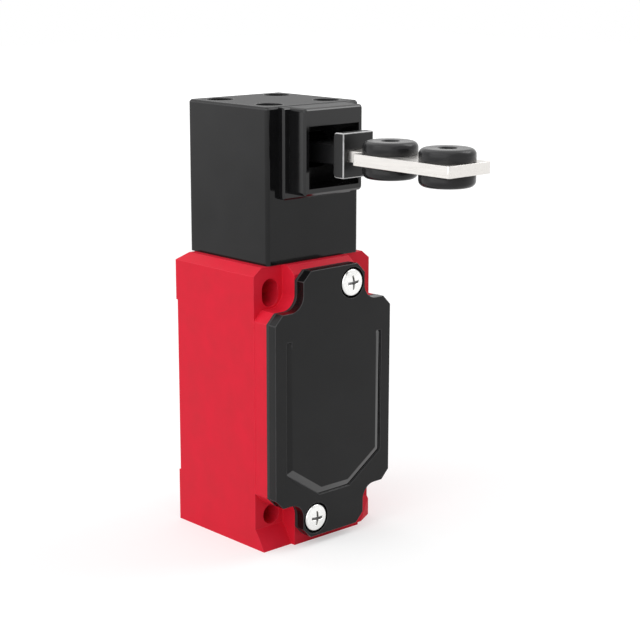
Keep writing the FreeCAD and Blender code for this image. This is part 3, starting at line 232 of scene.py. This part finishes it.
def outside_collar(tree, place):
    """1 on the collar's outer rim, where its edge highlight is painted, and 0 on its sleeve and round its slot."""
    centre = {1: [c * MM for c in COLLAR_CENTRE_MM]}
    offset = add_node(tree, "ShaderNodeVectorMath", centre, {0: place}, operation="SUBTRACT").outputs[0]
    distance = add_node(tree, "ShaderNodeVectorMath", None, {0: offset}, operation="ABSOLUTE").outputs[0]
    axes = add_node(tree, "ShaderNodeSeparateXYZ", None, {"Vector": distance}).outputs
    past = [add_node(tree, "ShaderNodeMath", {1: reach * MM}, {0: axis}, operation="GREATER_THAN").outputs[0]
            for axis, reach in zip(axes, COLLAR_REACH_MM)]
    rim = add_node(tree, "ShaderNodeMath", None, {0: past[0], 1: past[2]}, operation="MAXIMUM").outputs[0]
    return add_node(tree, "ShaderNodeMath", None, {0: rim, 1: past[1]}, operation="MULTIPLY").outputs[0]


# %% [markdown]
# ## Rubber
# The bushes and seals are moulded rubber. It is dark grey rather than black, with a soft broad highlight, and a
# faint bloom makes some patches duller.

# %% Moulded rubber
BLOOM_MM = 3.0
RUBBER_GRAIN_MM = 0.25
RUBBER_GRAIN_DEPTH_MM = 0.006


def moulded_rubber(name, colour, bloom, roughness):
    """Rubber whose bloom makes it paler and duller together, over the fine grain of its mould."""
    material, tree, shader, place = new_finish(name, {"Specular IOR Level": 0.25})
    patches = spread(tree, noise(tree, place, BLOOM_MM, detail=5.0), 0.0, 1.0)
    tree.links.new(blend_colours(tree, patches, colour, bloom), shader.inputs["Base Color"])
    tree.links.new(spread(tree, patches, roughness * 0.9, roughness * 1.15, 0.0, 1.0), shader.inputs["Roughness"])
    bump(tree, shader, noise(tree, place, RUBBER_GRAIN_MM, detail=2.0), RUBBER_GRAIN_DEPTH_MM)
    return material


# %% [markdown]
# ## Metals
# The key is a stamping from rolled stainless sheet: its grain runs along the key, so the noise is stretched that
# way. Screws are bright zinc, springs are drawn wire, and the contacts are brass strip.

# %% Grained metal
# Mid grey painted into the cover screws' crosses as painted shade.
RECESS_SHADE_GREY = "A4A4A4"


def grained_metal(name, colour, shade, roughness, grain_mm, depth_mm=0.001, stretch=(1, 1, 1), recess_mm=None):
    """Bare or plated metal. Where recess_mm is given, shade is painted into its recesses: the colour darkens to a
    mid grey from the Y at which recess_mm says they start to the Y where they are full.
    """
    material, tree, shader, place = new_finish(name, {"Metallic": 1.0})
    grain = noise(tree, place, grain_mm, stretch=stretch)
    tone = blend_colours(tree, spread(tree, grain, 0.0, 1.0), shade, colour)
    if recess_mm:
        # Painted shade: from recess_mm's first Y to its second the colour darkens towards the grey.
        reach = add_node(tree, "ShaderNodeSeparateXYZ", None, {"Vector": place}).outputs["Y"]
        recess_shade = spread(tree, reach, 0.0, 1.0, recess_mm[0] * MM, recess_mm[1] * MM)
        recess_shade_colours = {6: (0, 0, 0, 1), 7: linear(RECESS_SHADE_GREY)}
        tone = add_node(tree, "ShaderNodeMix", recess_shade_colours, {0: recess_shade, 6: tone}, data_type="RGBA").outputs[2]
    tree.links.new(tone, shader.inputs["Base Color"])
    tree.links.new(spread(tree, grain, roughness * 0.8, roughness * 1.25), shader.inputs["Roughness"])
    bump(tree, shader, grain, depth_mm)
    return material


# %% [markdown]
# ## Moulded inner pieces
# What sits inside is seldom seen: an acetal plunger and carrier, a grey insulating block and a dark rotor. Each
# still gets its own tone and a faint texture from its mould.

# %% Matt engineering plastics
MOULD_PATCH_MM = 4.0
MOULD_GRAIN_MM = 0.3
MOULD_GRAIN_DEPTH_MM = 0.005


def matt_moulding(name, colour, shade, roughness):
    """A plain plastic in two near tones, with the fine grain of its mould."""
    material, tree, shader, place = new_finish(name, {"Roughness": roughness})
    patches = spread(tree, noise(tree, place, MOULD_PATCH_MM, detail=4.0), 0.0, 1.0)
    tree.links.new(blend_colours(tree, patches, shade, colour), shader.inputs["Base Color"])
    bump(tree, shader, noise(tree, place, MOULD_GRAIN_MM, detail=1.0), MOULD_GRAIN_DEPTH_MM)
    return material


# %% [markdown]
# ## The finish of each piece
# One finish for each material slot of the record, then those of single pieces: the cover, the guide and the
# collar each have a black of their own, and the rounds of each kind of edge are painted a little paler than
# their piece, as a painted highlight.

# %% Every finish
# The Y at which shade painted into the crosses of the cover's screws starts and where it is full.
COVER_CROSS_MM = (-23.05, -22.2)

finishes = {
    "red_casting": powder_coat(),
    "black_moulding": black_nylon("polished_black_nylon", "0C0C0D", roughness=0.1, ripple_mm=5.0),
    "seal_rubber": moulded_rubber("sealing_rubber", "2A2A2B", "333334", roughness=0.55),
    "screw_steel": grained_metal("bright_zinc_plate", "F4F4F2", "E6E6E4", roughness=0.2, grain_mm=0.4),
    "grey_moulding": matt_moulding("dark_grey_nylon", "3A3B3D", "303133", roughness=0.5),
    "rotor_moulding": matt_moulding("hard_black_acetal", "1C1C1E", "141415", roughness=0.35),
    "plunger_moulding": matt_moulding("white_acetal", "E2DFD6", "D6D2C8", roughness=0.4),
    "spring_steel": grained_metal("drawn_spring_wire", "B4B4B6", "8C8C8F", roughness=0.28, grain_mm=0.3),
    "contact_moulding": matt_moulding("grey_melamine", "8A8B8D", "7C7D7F", roughness=0.45),
    "contact_brass": grained_metal("brass_strip", "D8B36A", "C29A50", roughness=0.28, grain_mm=0.5),
    "key_steel": grained_metal("rolled_stainless", "E4E1DD", "DAD7D3", roughness=0.3, grain_mm=0.4, depth_mm=0.0002,
                               stretch=(1, 0.05, 1)),
    "bush_rubber": moulded_rubber("moulded_bush_rubber", "202021", "262627", roughness=0.24),
}
cover_nylon = black_nylon("satin_black_nylon", "0E0E0F", roughness=0.2, ripple_mm=4.0, mirror=0.23)
channel_nylon = black_nylon("polished_channel_nylon", "111112", roughness=0.1, ripple_mm=4.0, mirror=1.0)
cover_screw_zinc = grained_metal("zinc_with_painted_recess_shade", "FAFAF8", "EDEDEB", roughness=0.2, grain_mm=0.4,
                                 recess_mm=COVER_CROSS_MM)
guide_nylon = black_nylon("polished_guide_nylon", "101011", roughness=0.12, ripple_mm=5.0, mirror=0.4)
collar_nylon = black_nylon("handled_black_nylon", COLLAR_BLACK, roughness=0.32, ripple_mm=3.0, mirror=0.35)
# Painted highlights: the rounds of these pieces take a colour paler than the piece, for the light their edges catch.
moulding_edge_highlight = painted_edge_highlight("moulding_edge_highlight", "343435", "222223", roughness=0.22)
guide_edge_highlight = painted_edge_highlight("guide_edge_highlight", "6A6A6B", "3E3E3F", roughness=0.25)
collar_edge = painted_edge_highlight("collar_edge_highlight", "D0D0D0", "969696", roughness=0.35, within=outside_collar)
coat_edge_highlight = painted_edge_highlight("powder_edge_highlight", "EC3048", "E0263C", roughness=0.4)
print("finishes:", sorted(m.name for m in finishes.values()))


# %% [markdown]
# ## Small helpers that put a piece on the frame
# Every new piece stands for one CAD node: it rides on the same body and hides the node. It takes the finish of the
# node's slot, or one of its own.

# %% Dress a piece
def dress(piece, node, material=None):
    """Put a piece on its node's body in place of the node, with the given finish or that of the node's slot."""
    piece.data.materials.clear()
    piece.data.materials.append(material or finishes[slot_of[node]])
    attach(piece, body_of[node])
    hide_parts(node)


def mesh_piece(name, points, faces):
    """An object from an array of points in mm, in the frame, and its faces."""
    mesh = bpy.data.meshes.new(name)
    mesh.from_pydata((np.asarray(points) * MM).tolist(), [], [list(map(int, face)) for face in faces])
    mesh.shade_smooth()
    mesh.update()
    piece = bpy.data.objects.new(name, mesh)
    bpy.context.scene.collection.objects.link(piece)
    return piece


# %% [markdown]
# ## Edges that catch the light
# No casting or moulding has a knife edge: each corner is rounded by a few tenths of a millimetre, and that
# round is what draws the bright line along it. A CAD node is loose triangles, so a copy is merged, its flat
# faces are joined up again, and a Bevel modifier rounds only the real corners. A Weighted Normal modifier then
# keeps the shading of the large flat faces even.
# Where a piece is given an edge finish, its rounds are also painted paler than the piece: a painted highlight.

# %% Rounded copies of the prismatic pieces
MERGE_MM = 0.002
FLAT_ANGLE = np.radians(1.0)
CREASE_ANGLE = np.radians(10.0)
CREASE_FACE_MM2 = 20.0
CORNER_ANGLE = np.radians(28.0)
EDGE_SEGMENTS = 3


def is_crease(edge):
    """A shallow fold between two large flat faces, such as a chamfered channel, which has to stay crisp."""
    if len(edge.link_faces) != 2 or edge.calc_face_angle(0.0) < CREASE_ANGLE:
        return False
    return min(face.calc_area() for face in edge.link_faces) > CREASE_FACE_MM2 * MM * MM


# The box begins past the channel's left strip, which is as dull as the cover in the photo.
CHANNEL_LOW = np.array([-14.9, -22.79, 13.7]) * MM
CHANNEL_HIGH = np.array([17.4, -22.2, 57.2]) * MM
SLOPE_FACING = (0.9, 0.99)


def is_channel_slope(face):
    """A strip of the channel round the cover's bare panel: it leans away from the front by 8 to 26 degrees."""
    middle = np.array(face.center)
    inside = np.all(middle > CHANNEL_LOW) and np.all(middle < CHANNEL_HIGH)
    return inside and SLOPE_FACING[0] < -face.normal.y < SLOPE_FACING[1]


def rounded_copy(node, edge_mm, material=None, edge=None, merge_mm=MERGE_MM, channel=None):
    """A copy of a CAD node with each corner rounded by edge_mm. Points nearer than merge_mm are joined first.

    edge is the finish of the rounds, painted paler than the piece as a highlight, and channel that of the cover's
    channel slopes."""
    work = bmesh.new()
    work.from_mesh(nodes[node].data)
    bmesh.ops.remove_doubles(work, verts=work.verts, dist=merge_mm * MM)
    bmesh.ops.dissolve_limit(work, angle_limit=FLAT_ANGLE, verts=work.verts, edges=work.edges)
    for fold in work.edges:
        fold.smooth = not is_crease(fold)
    mesh = bpy.data.meshes.new(node + "_edges")
    work.to_mesh(mesh)
    work.free()
    for face in mesh.polygons:
        face.use_smooth = True
    piece = bpy.data.objects.new(node + "_finished", mesh)
    bpy.context.scene.collection.objects.link(piece)
    bevel = piece.modifiers.new("edges", "BEVEL")
    bevel.width = edge_mm * MM
    bevel.segments = EDGE_SEGMENTS
    bevel.limit_method = "ANGLE"
    bevel.angle_limit = CORNER_ANGLE
    bevel.use_clamp_overlap = True
    bevel.miter_outer = "MITER_ARC"
    flat = piece.modifiers.new("flat_faces", "WEIGHTED_NORMAL")
    flat.keep_sharp = True
    flat.weight = 100
    dress(piece, node, material)
    if edge:
        piece.data.materials.append(edge)
        bevel.material = 1
    if channel:
        piece.data.materials.append(channel)
        slopes = [face for face in piece.data.polygons if is_channel_slope(face)]
        for face in slopes:
            face.material_index = 2
        print("channel slopes:", len(slopes))


EDGE_MM = {
    "cover_gasket": 0.12, "head_gasket": 0.1, "rotor_cage": 0.2, "rotor": 0.2, "contact_block": 0.2,
    "contact_carrier": 0.2, "closing_bridge": 0.08, "opening_bridge": 0.08, "closing_contacts": 0.1,
    "opening_contacts": 0.1, "terminal_clamps": 0.1, "earth_clamp": 0.1, "key_plate": 0.15, "plunger": 0.1,
    "rotor_axle": 0.15,
}
BODY_MERGE_MM = 0.12
for node, edge_mm in EDGE_MM.items():
    rounded_copy(node, edge_mm)
rounded_copy("body_housing", 0.4, edge=coat_edge_highlight, merge_mm=BODY_MERGE_MM)
rounded_copy("front_cover", 0.25, cover_nylon, moulding_edge_highlight, channel=channel_nylon)
rounded_copy("key_collar", 0.25, collar_nylon, collar_edge)
rounded_copy("head_housing", 0.2, edge=moulding_edge_highlight)
rounded_copy("key_guide", 0.2, guide_nylon, guide_edge_highlight)
print("rounded copies:", len(EDGE_MM) + 5)


# %% [markdown]
# ## Turned pieces
# Screws, bushes and the seal are bodies of revolution. The CAD draws them with flat sides, so here each gets a
# true round surface: a profile of radius and height is carried round an axis on a grid of rows and columns.

# %% Surface of revolution
DOUBLE_MM = 0.0005


def carried_round(profile, sides):
    """Rows of points: each (radius, height) of the profile goes to (radius cos t, radius sin t, height) for even t."""
    turn = np.linspace(0, 2 * np.pi, sides, endpoint=False)
    radius, height = np.asarray(profile, float).T[:, :, None]
    return np.stack([radius * np.cos(turn), radius * np.sin(turn), height + 0 * turn], axis=-1)


def grid_faces(rows, columns, loop_rows):
    """Quads of a grid whose columns wrap; loop_rows joins the last row to the first one as well."""
    row, column = np.meshgrid(np.arange(rows if loop_rows else rows - 1), np.arange(columns), indexing="ij")
    above, beside = (row + 1) % rows, (column + 1) % columns
    corners = [row * columns + column, row * columns + beside, above * columns + beside, above * columns + column]
    return np.stack(corners, axis=-1).reshape(-1, 4)


def stood_on(points, place, axis):
    """Turn points whose height runs along +Z so that it runs along axis, then move them to place."""
    turn = np.array(Vector((0, 0, 1)).rotation_difference(Vector(axis)).to_matrix())
    return points @ turn.T + np.asarray(place, float)


def closed_mesh(name, parts):
    """One object from several (points, faces) parts, with doubles merged and faces turned outwards."""
    piece = mesh_piece(name, np.concatenate([p.reshape(-1, 3) for p, _ in parts]), join_faces(parts))
    work = bmesh.new()
    work.from_mesh(piece.data)
    bmesh.ops.remove_doubles(work, verts=work.verts, dist=DOUBLE_MM * MM)
    bmesh.ops.recalc_face_normals(work, faces=work.faces)
    work.to_mesh(piece.data)
    work.free()
    piece.data.shade_smooth()
    return piece


def join_faces(parts):
    """The faces of all parts, each part's indices shifted past the points before it."""
    sizes = np.cumsum([0] + [p.reshape(-1, 3).shape[0] for p, _ in parts[:-1]])
    return [face for size, (_, faces) in zip(sizes, parts) for face in (np.asarray(faces) + size).tolist()]


# %% [markdown]
# ## Screws with a cross recess
# A pan-head screw is stamped: its head is a low dome with a round shoulder, and the driver's cross is punched
# in with sloping walls. The dome is the profile; the cross is a depth that is taken off the height.

# %% Cross-recess screws
def arc(centre, radius, start, end, count):
    """Points on a circle from one angle to another, in degrees."""
    angle = np.radians(np.linspace(start, end, count))
    return np.stack([centre[0] + radius * np.cos(angle), centre[1] + radius * np.sin(angle)], axis=-1)


def cross_depth(x, y, half_span, half_width, depth, slope):
    """Depth of a cross: full inside either arm, zero outside both, and falling in a straight line over the slope."""
    arm = np.maximum(np.abs(x) - half_span, np.abs(y) - half_width)
    other = np.maximum(np.abs(y) - half_span, np.abs(x) - half_width)
    inside = -np.minimum(arm, other)
    return depth * np.clip(inside / slope, 0, 1)


SHOULDER_SHARE = 0.4
CROWN_SHARE = 0.12
WALL_SHARE = 0.35
SHOULDER_POINTS = 8
UNDERCUT_MM = 0.05
POINT_MM = 0.3


def screw_surface(head_radius, head_height, shank_radius, length, recess, sides, rows):
    """A domed head on a shank: rows run from the top's centre out, round the shoulder, and down to the shank's end."""
    shoulder = SHOULDER_SHARE * head_height
    crown = CROWN_SHARE * head_height
    reach = head_radius - shoulder
    across = np.linspace(0, reach, rows)
    dome = np.stack([across, head_height - crown * (across / reach) ** 2], axis=-1)
    edge = arc((reach, head_height - crown - shoulder), shoulder, 90, 0, SHOULDER_POINTS)
    foot = [(head_radius, UNDERCUT_MM), (head_radius - UNDERCUT_MM, 0), (shank_radius, 0),
            (shank_radius, POINT_MM - length), (shank_radius - POINT_MM, -length), (0, -length)]
    profile = np.concatenate([dome, edge[1:], foot])
    points = carried_round(profile, sides)
    half_span, half_width, depth = recess
    slope = WALL_SHARE * half_width
    points[:rows, :, 2] -= cross_depth(points[:rows, :, 0], points[:rows, :, 1], half_span, half_width, depth, slope)
    return points, grid_faces(len(profile), sides, False)


def screws(node, places, axis, sizes, recess, turns, sides, rows, material=None):
    """Every screw of a node: its seat's centre, and how far its cross happened to stop turned, in degrees."""
    parts = []
    for place, turn in zip(places, turns):
        points, faces = screw_surface(*sizes, recess, sides, rows)
        c, s = np.cos(np.radians(turn)), np.sin(np.radians(turn))
        spun = points @ np.array([[c, s, 0], [-s, c, 0], [0, 0, 1]])
        parts.append((stood_on(spun, place, axis), faces))
    dress(closed_mesh(node + "_turned", parts), node, material)


HEAD_AXIS_Y = 1.3
HEAD_SCREW_AT = (-9.9, 9.9)
# Sizes in mm: the head's radius and height, the shank's radius and length, and the cross's half span, half width
# and depth.
COVER_SCREW, COVER_CROSS = (3.75, 2.45, 2.0, 9.4), (1.95, 0.4, 1.3)
HEAD_SCREW, HEAD_CROSS = (3.4, 1.8, 1.75, 44.8), (1.9, 0.45, 1.0)
cover_seats = [(6.4, -20.95, 69.6), (-6.4, -20.95, 7.6)]
screws("cover_screws", cover_seats, (0, -1, 0), COVER_SCREW, COVER_CROSS, turns=(4, -3), sides=128, rows=48,
       material=cover_screw_zinc)
head_seats = [(x, HEAD_AXIS_Y + y, 112.55) for x in HEAD_SCREW_AT for y in HEAD_SCREW_AT]
screws("head_screws", head_seats, (0, 0, 1), HEAD_SCREW, HEAD_CROSS, turns=(20, 65, 5, 40), sides=96, rows=36)
print("screws:", len(cover_seats), "on the cover,", len(head_seats), "in the head")


# %% [markdown]
# ## Rubber bushes
# Each bush is pressed through the key's hole: two rounded flanges with a waist between them. Moulded rubber has
# full, soft shoulders, so the profile is two large arcs, with a small lip where the screw's hole opens.

# %% Bushes
LIP_MM = 0.35
FLANGE_BREAK_MM = 0.06
BUSH_SIDES = 96
BUSH_CENTRE_Z = 104.4


def bush_profile(radius, height, shoulder, hole_radius, waist_radius, grip):
    """The closed outline of one half-section: hole, top, shoulder, side, waist, and the same below."""
    half = 0.5 * height
    lip = arc((hole_radius + LIP_MM, half - LIP_MM), LIP_MM, 180, 90, 6)
    top = arc((radius - shoulder, half - shoulder), shoulder, 90, 0, 14)
    side = [(radius, grip + FLANGE_BREAK_MM), (radius - FLANGE_BREAK_MM, grip), (waist_radius, grip)]
    upper = np.concatenate([lip, top, side])
    lower = upper[::-1] * [1, -1]
    return np.concatenate([upper, lower])


profile = bush_profile(radius=6.9, height=9.2, shoulder=1.5, hole_radius=2.2, waist_radius=4.9, grip=1.47)
for node, y in (("inner_bush", -42.5), ("outer_bush", -61.6)):
    surface = stood_on(carried_round(profile, BUSH_SIDES), (0, y, BUSH_CENTRE_Z), (0, 0, 1))
    dress(closed_mesh(node + "_turned", [(surface, grid_faces(len(profile), BUSH_SIDES, True))]), node)
print("bush profile points:", len(profile))


# %% [markdown]
# ## Plunger seal
# A small lip ring wipes the plunger. The lip is a thin feather against the rod, with a hollow under it.

# %% Seal
SEAL_SIDES = 64
SEAL_BASE_MM = 76.1
seal_profile = np.array([(4.0, 0.02), (4.58, 0.02), (4.58, 1.78), (3.08, 1.78), (3.08, 1.0)])
seal = stood_on(carried_round(seal_profile, SEAL_SIDES), (0, HEAD_AXIS_Y, SEAL_BASE_MM), (0, 0, 1))
dress(closed_mesh("plunger_seal_turned", [(seal, grid_faces(len(seal_profile), SEAL_SIDES, True))]), "plunger_seal")
print("seal profile points:", len(seal_profile))


# %% [markdown]
# ## Springs
# A compression spring is round wire wound to a helix, with its last turns laid flat so that it stands upright.
# The wire's centre line climbs slowly at both ends and faster between; a circle is then carried along it.
# The plunger's and the carrier's springs join a fixed floor to a moving seat; each is wound between the low and
# high ends of its node. The two small springs of the contact bridges ride on the carrier.

# %% Wound springs
STEPS_PER_TURN = 40
WIRE_SIDES = 16
END_TURNS = 0.75
END_RISE = 0.9


def spring_surface(low, high, x, y, mean_radius, wire, turns):
    """Centre line (R cos t, R sin t, z(t)), with z slow over the first and last turn; a wire circle in each plane."""
    count = int(turns * STEPS_PER_TURN)
    turn = np.linspace(0, turns, count + 1)
    rise, end_rise = high - low - wire, END_RISE * wire
    height = np.interp(turn, [0, END_TURNS, turns - END_TURNS, turns], [0, end_rise, rise - end_rise, rise])
    angle = 2 * np.pi * turn
    line = np.stack([mean_radius * np.cos(angle), mean_radius * np.sin(angle), height], axis=-1)
    tangent = np.gradient(line, axis=0)
    tangent /= np.linalg.norm(tangent, axis=1, keepdims=True)
    outward = np.stack([np.cos(angle), np.sin(angle), 0 * angle], axis=-1)
    upward = np.cross(outward, tangent)
    section = np.linspace(0, 2 * np.pi, WIRE_SIDES, endpoint=False)[None, :, None]
    ring = outward[:, None] * np.cos(section) + upward[:, None] * np.sin(section)
    points = line[:, None] + 0.5 * wire * ring + [x, y, low + 0.5 * wire]
    start, end = points[0].mean(0, keepdims=True), points[-1].mean(0, keepdims=True)
    capped = np.concatenate([np.repeat(start, WIRE_SIDES, 0)[None], points, np.repeat(end, WIRE_SIDES, 0)[None]])
    return capped, grid_faces(count + 3, WIRE_SIDES, False)


def stretching_spring(node, moving_body, *sizes):
    """A spring that stands still with the switch, takes its node's finish and hides the node. moving_body is not used.
    """
    piece = closed_mesh(node + "_wound", [spring_surface(*sizes)])
    piece.data.materials.append(finishes[slot_of[node]])
    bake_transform(piece)
    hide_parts(node)


# Each spring's mean radius, wire and turns.
PLUNGER_COIL = (4.1, 0.8, 4.0)
CARRIER_COIL = (2.2, 0.6, 2.5)
BRIDGE_COIL = (1.4, 0.5, 4.0)
BRIDGE_AXIS_Y = -0.8
BRIDGE_SPRING_HEIGHT = 4.0
plunger_box, carrier_box = (np.array(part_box(n)) / MM for n in ("plunger_spring", "carrier_spring"))
stretching_spring("plunger_spring", "plunger", plunger_box[0][2], plunger_box[1][2], 0, HEAD_AXIS_Y, *PLUNGER_COIL)
stretching_spring("carrier_spring", "carrier", carrier_box[0][2], carrier_box[1][2], 0, HEAD_AXIS_Y, *CARRIER_COIL)
bridge_wires = [spring_surface(low, low + BRIDGE_SPRING_HEIGHT, 0, BRIDGE_AXIS_Y, *BRIDGE_COIL)
                for low in (47.0, 40.5)]
dress(closed_mesh("bridge_springs_wound", bridge_wires), "bridge_springs")
print("springs, foot and head in mm:", plunger_box[:, 2].round(2), carrier_box[:, 2].round(2))


# %% [markdown]
# ## The remaining CAD pieces
# Small hidden fasteners keep their CAD shape and only take a finish.

# %% Finish what still shows as CAD
shown = [name for name, node in nodes.items() if not node.hide_render]
for name in shown:
    mesh = nodes[name].data
    mesh.materials.clear()
    mesh.materials.append(finishes[slot_of[name]])
print("CAD nodes given a finish:", len(shown))


# %% [markdown]
# ## Floor and studio
# The photo is a cut-out on white. The floor is plain and pale: the camera sees it as white wherever it is lit,
# and it keeps the object's soft shadow. The world is white too where it is seen or mirrored, but it lights the
# object only weakly, so that the lamps give the faces their different tones.

# %% Floor
FLOOR_SIZE_MM = 4000.0
FLOOR_GREY = "CCCCCC"
NEAR_GLOW = 0.45
FAR_GLOW = 1.0
NEAR_MM = 500.0
FAR_MM = 1300.0


def white_floor():
    """A flat square under the body. Seen straight or mirrored it glows a little, and more where the lamps fade."""
    half = 0.5 * FLOOR_SIZE_MM
    corners = np.array([(-half, -half, 0), (half, -half, 0), (half, half, 0), (-half, half, 0)], float)
    floor = mesh_piece("studio_floor", corners, [(0, 1, 2, 3)])
    values = {"Base Color": linear(FLOOR_GREY), "Roughness": 0.9, "Specular IOR Level": 0.0,
              "Emission Color": (1, 1, 1, 1)}
    material, tree, shader, place = new_finish("pale_studio_floor", values)
    distance = add_node(tree, "ShaderNodeVectorMath", None, {0: place}, operation="LENGTH").outputs["Value"]
    reach = {"From Min": NEAR_MM * MM, "From Max": FAR_MM * MM, "To Min": NEAR_GLOW, "To Max": FAR_GLOW}
    glow = add_node(tree, "ShaderNodeMapRange", reach, {"Value": distance}).outputs["Result"]
    strength = add_node(tree, "ShaderNodeMath", None, {0: glow, 1: seen_rays(tree)}, operation="MULTIPLY")
    tree.links.new(strength.outputs["Value"], shader.inputs["Emission Strength"])
    floor.data.materials.append(material)
    floor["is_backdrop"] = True


def seen_rays(tree):
    """1 for rays from the camera, from mirrors and through glass, and 0 for those that only carry light."""
    path = add_node(tree, "ShaderNodeLightPath")
    seen = path.outputs["Is Camera Ray"]
    for ray in ("Is Glossy Ray", "Is Transmission Ray"):
        seen = add_node(tree, "ShaderNodeMath", None, {0: seen, 1: path.outputs[ray]}, operation="MAXIMUM").outputs[0]
    return seen


white_floor()

# %% World
WORLD_FILL = 0.35


def white_world():
    """White at strength 1 to the rays that see it, and WORLD_FILL as light on matt faces."""
    world = bpy.data.worlds.new("white_room")
    world.use_nodes = True
    tree = world.node_tree
    values = {"To Min": WORLD_FILL, "To Max": 1.0}
    strength = add_node(tree, "ShaderNodeMapRange", values, {"Value": seen_rays(tree)}).outputs["Result"]
    background = tree.nodes["Background"]
    background.inputs["Color"].default_value = (1, 1, 1, 1)
    tree.links.new(strength, background.inputs["Strength"])
    bpy.context.scene.world = world


white_world()
print("floor and world are in place")


# %% [markdown]
# ## Lamps
# Two large soft lamps do the work: the stronger stands on the left, because the left faces are the brightest in
# the photo, and the other hangs above. A small one high on the right draws the bright lines along the edges.

# %% Soft lamps
TARGET_MM = np.array([0.0, -15.0, 60.0])


def soft_lamp(name, place_mm, size_mm, watts):
    """A square area lamp at place_mm that faces the object."""
    data = bpy.data.lights.new(name, "AREA")
    data.shape = "SQUARE"
    data.size = size_mm * MM
    data.energy = watts
    lamp = bpy.data.objects.new(name, data)
    bpy.context.scene.collection.objects.link(lamp)
    place = Vector((np.array(place_mm, float) * MM).tolist())
    aim = Vector((TARGET_MM * MM).tolist()) - place
    lamp.matrix_world = Matrix.Translation(place) @ aim.to_track_quat("-Z", "Y").to_matrix().to_4x4()


soft_lamp("left_window", place_mm=(-1200, -150, 500), size_mm=2000, watts=15.0)
soft_lamp("top_light", place_mm=(-100, 150, 1250), size_mm=1800, watts=10.0)
soft_lamp("edge_light", place_mm=(660, -240, 780), size_mm=450, watts=2.2)
print("lamps:", len(bpy.data.lights))


# %% [markdown]
# ## Camera
# The camera was solved from about thirty corners of the photo: a long lens from the front left, a little above.

# %% Camera at the photo's angle
CAMERA_PLACE_MM = np.array([-276.53, -317.56, 154.02])
VIEW_LINE = Vector((0.6598, 0.7168, -0.2254))
CAMERA_UP = Vector((0.1511, 0.1673, 0.9743))
LENS_MM = 89.47
SENSOR_MM = 36.0
CLIP_START_M = 0.01


def photo_camera():
    """Columns of the camera's turn: right, up and back, from the line of sight and the picture's up."""
    data = bpy.data.cameras.new("photo_camera")
    data.lens = LENS_MM
    data.sensor_width = SENSOR_MM
    data.clip_start = CLIP_START_M
    camera = bpy.data.objects.new("photo_camera", data)
    bpy.context.scene.collection.objects.link(camera)
    back = -VIEW_LINE.normalized()
    right = CAMERA_UP.cross(back).normalized()
    turn = Matrix((right, back.cross(right), back)).transposed()
    camera.matrix_world = Matrix.Translation((CAMERA_PLACE_MM * MM).tolist()) @ turn.to_4x4()
    bpy.context.scene.camera = camera


photo_camera()
bpy.context.scene.view_settings.view_transform = "Standard"
print("camera's lens in mm:", LENS_MM)

visual_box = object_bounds()
grown = [[round((v - c) / MM, 2) for v, c in zip(*pair)] for pair in zip(visual_box, cad_box)]
print("visual box minus CAD box in mm, low and high:", grown)
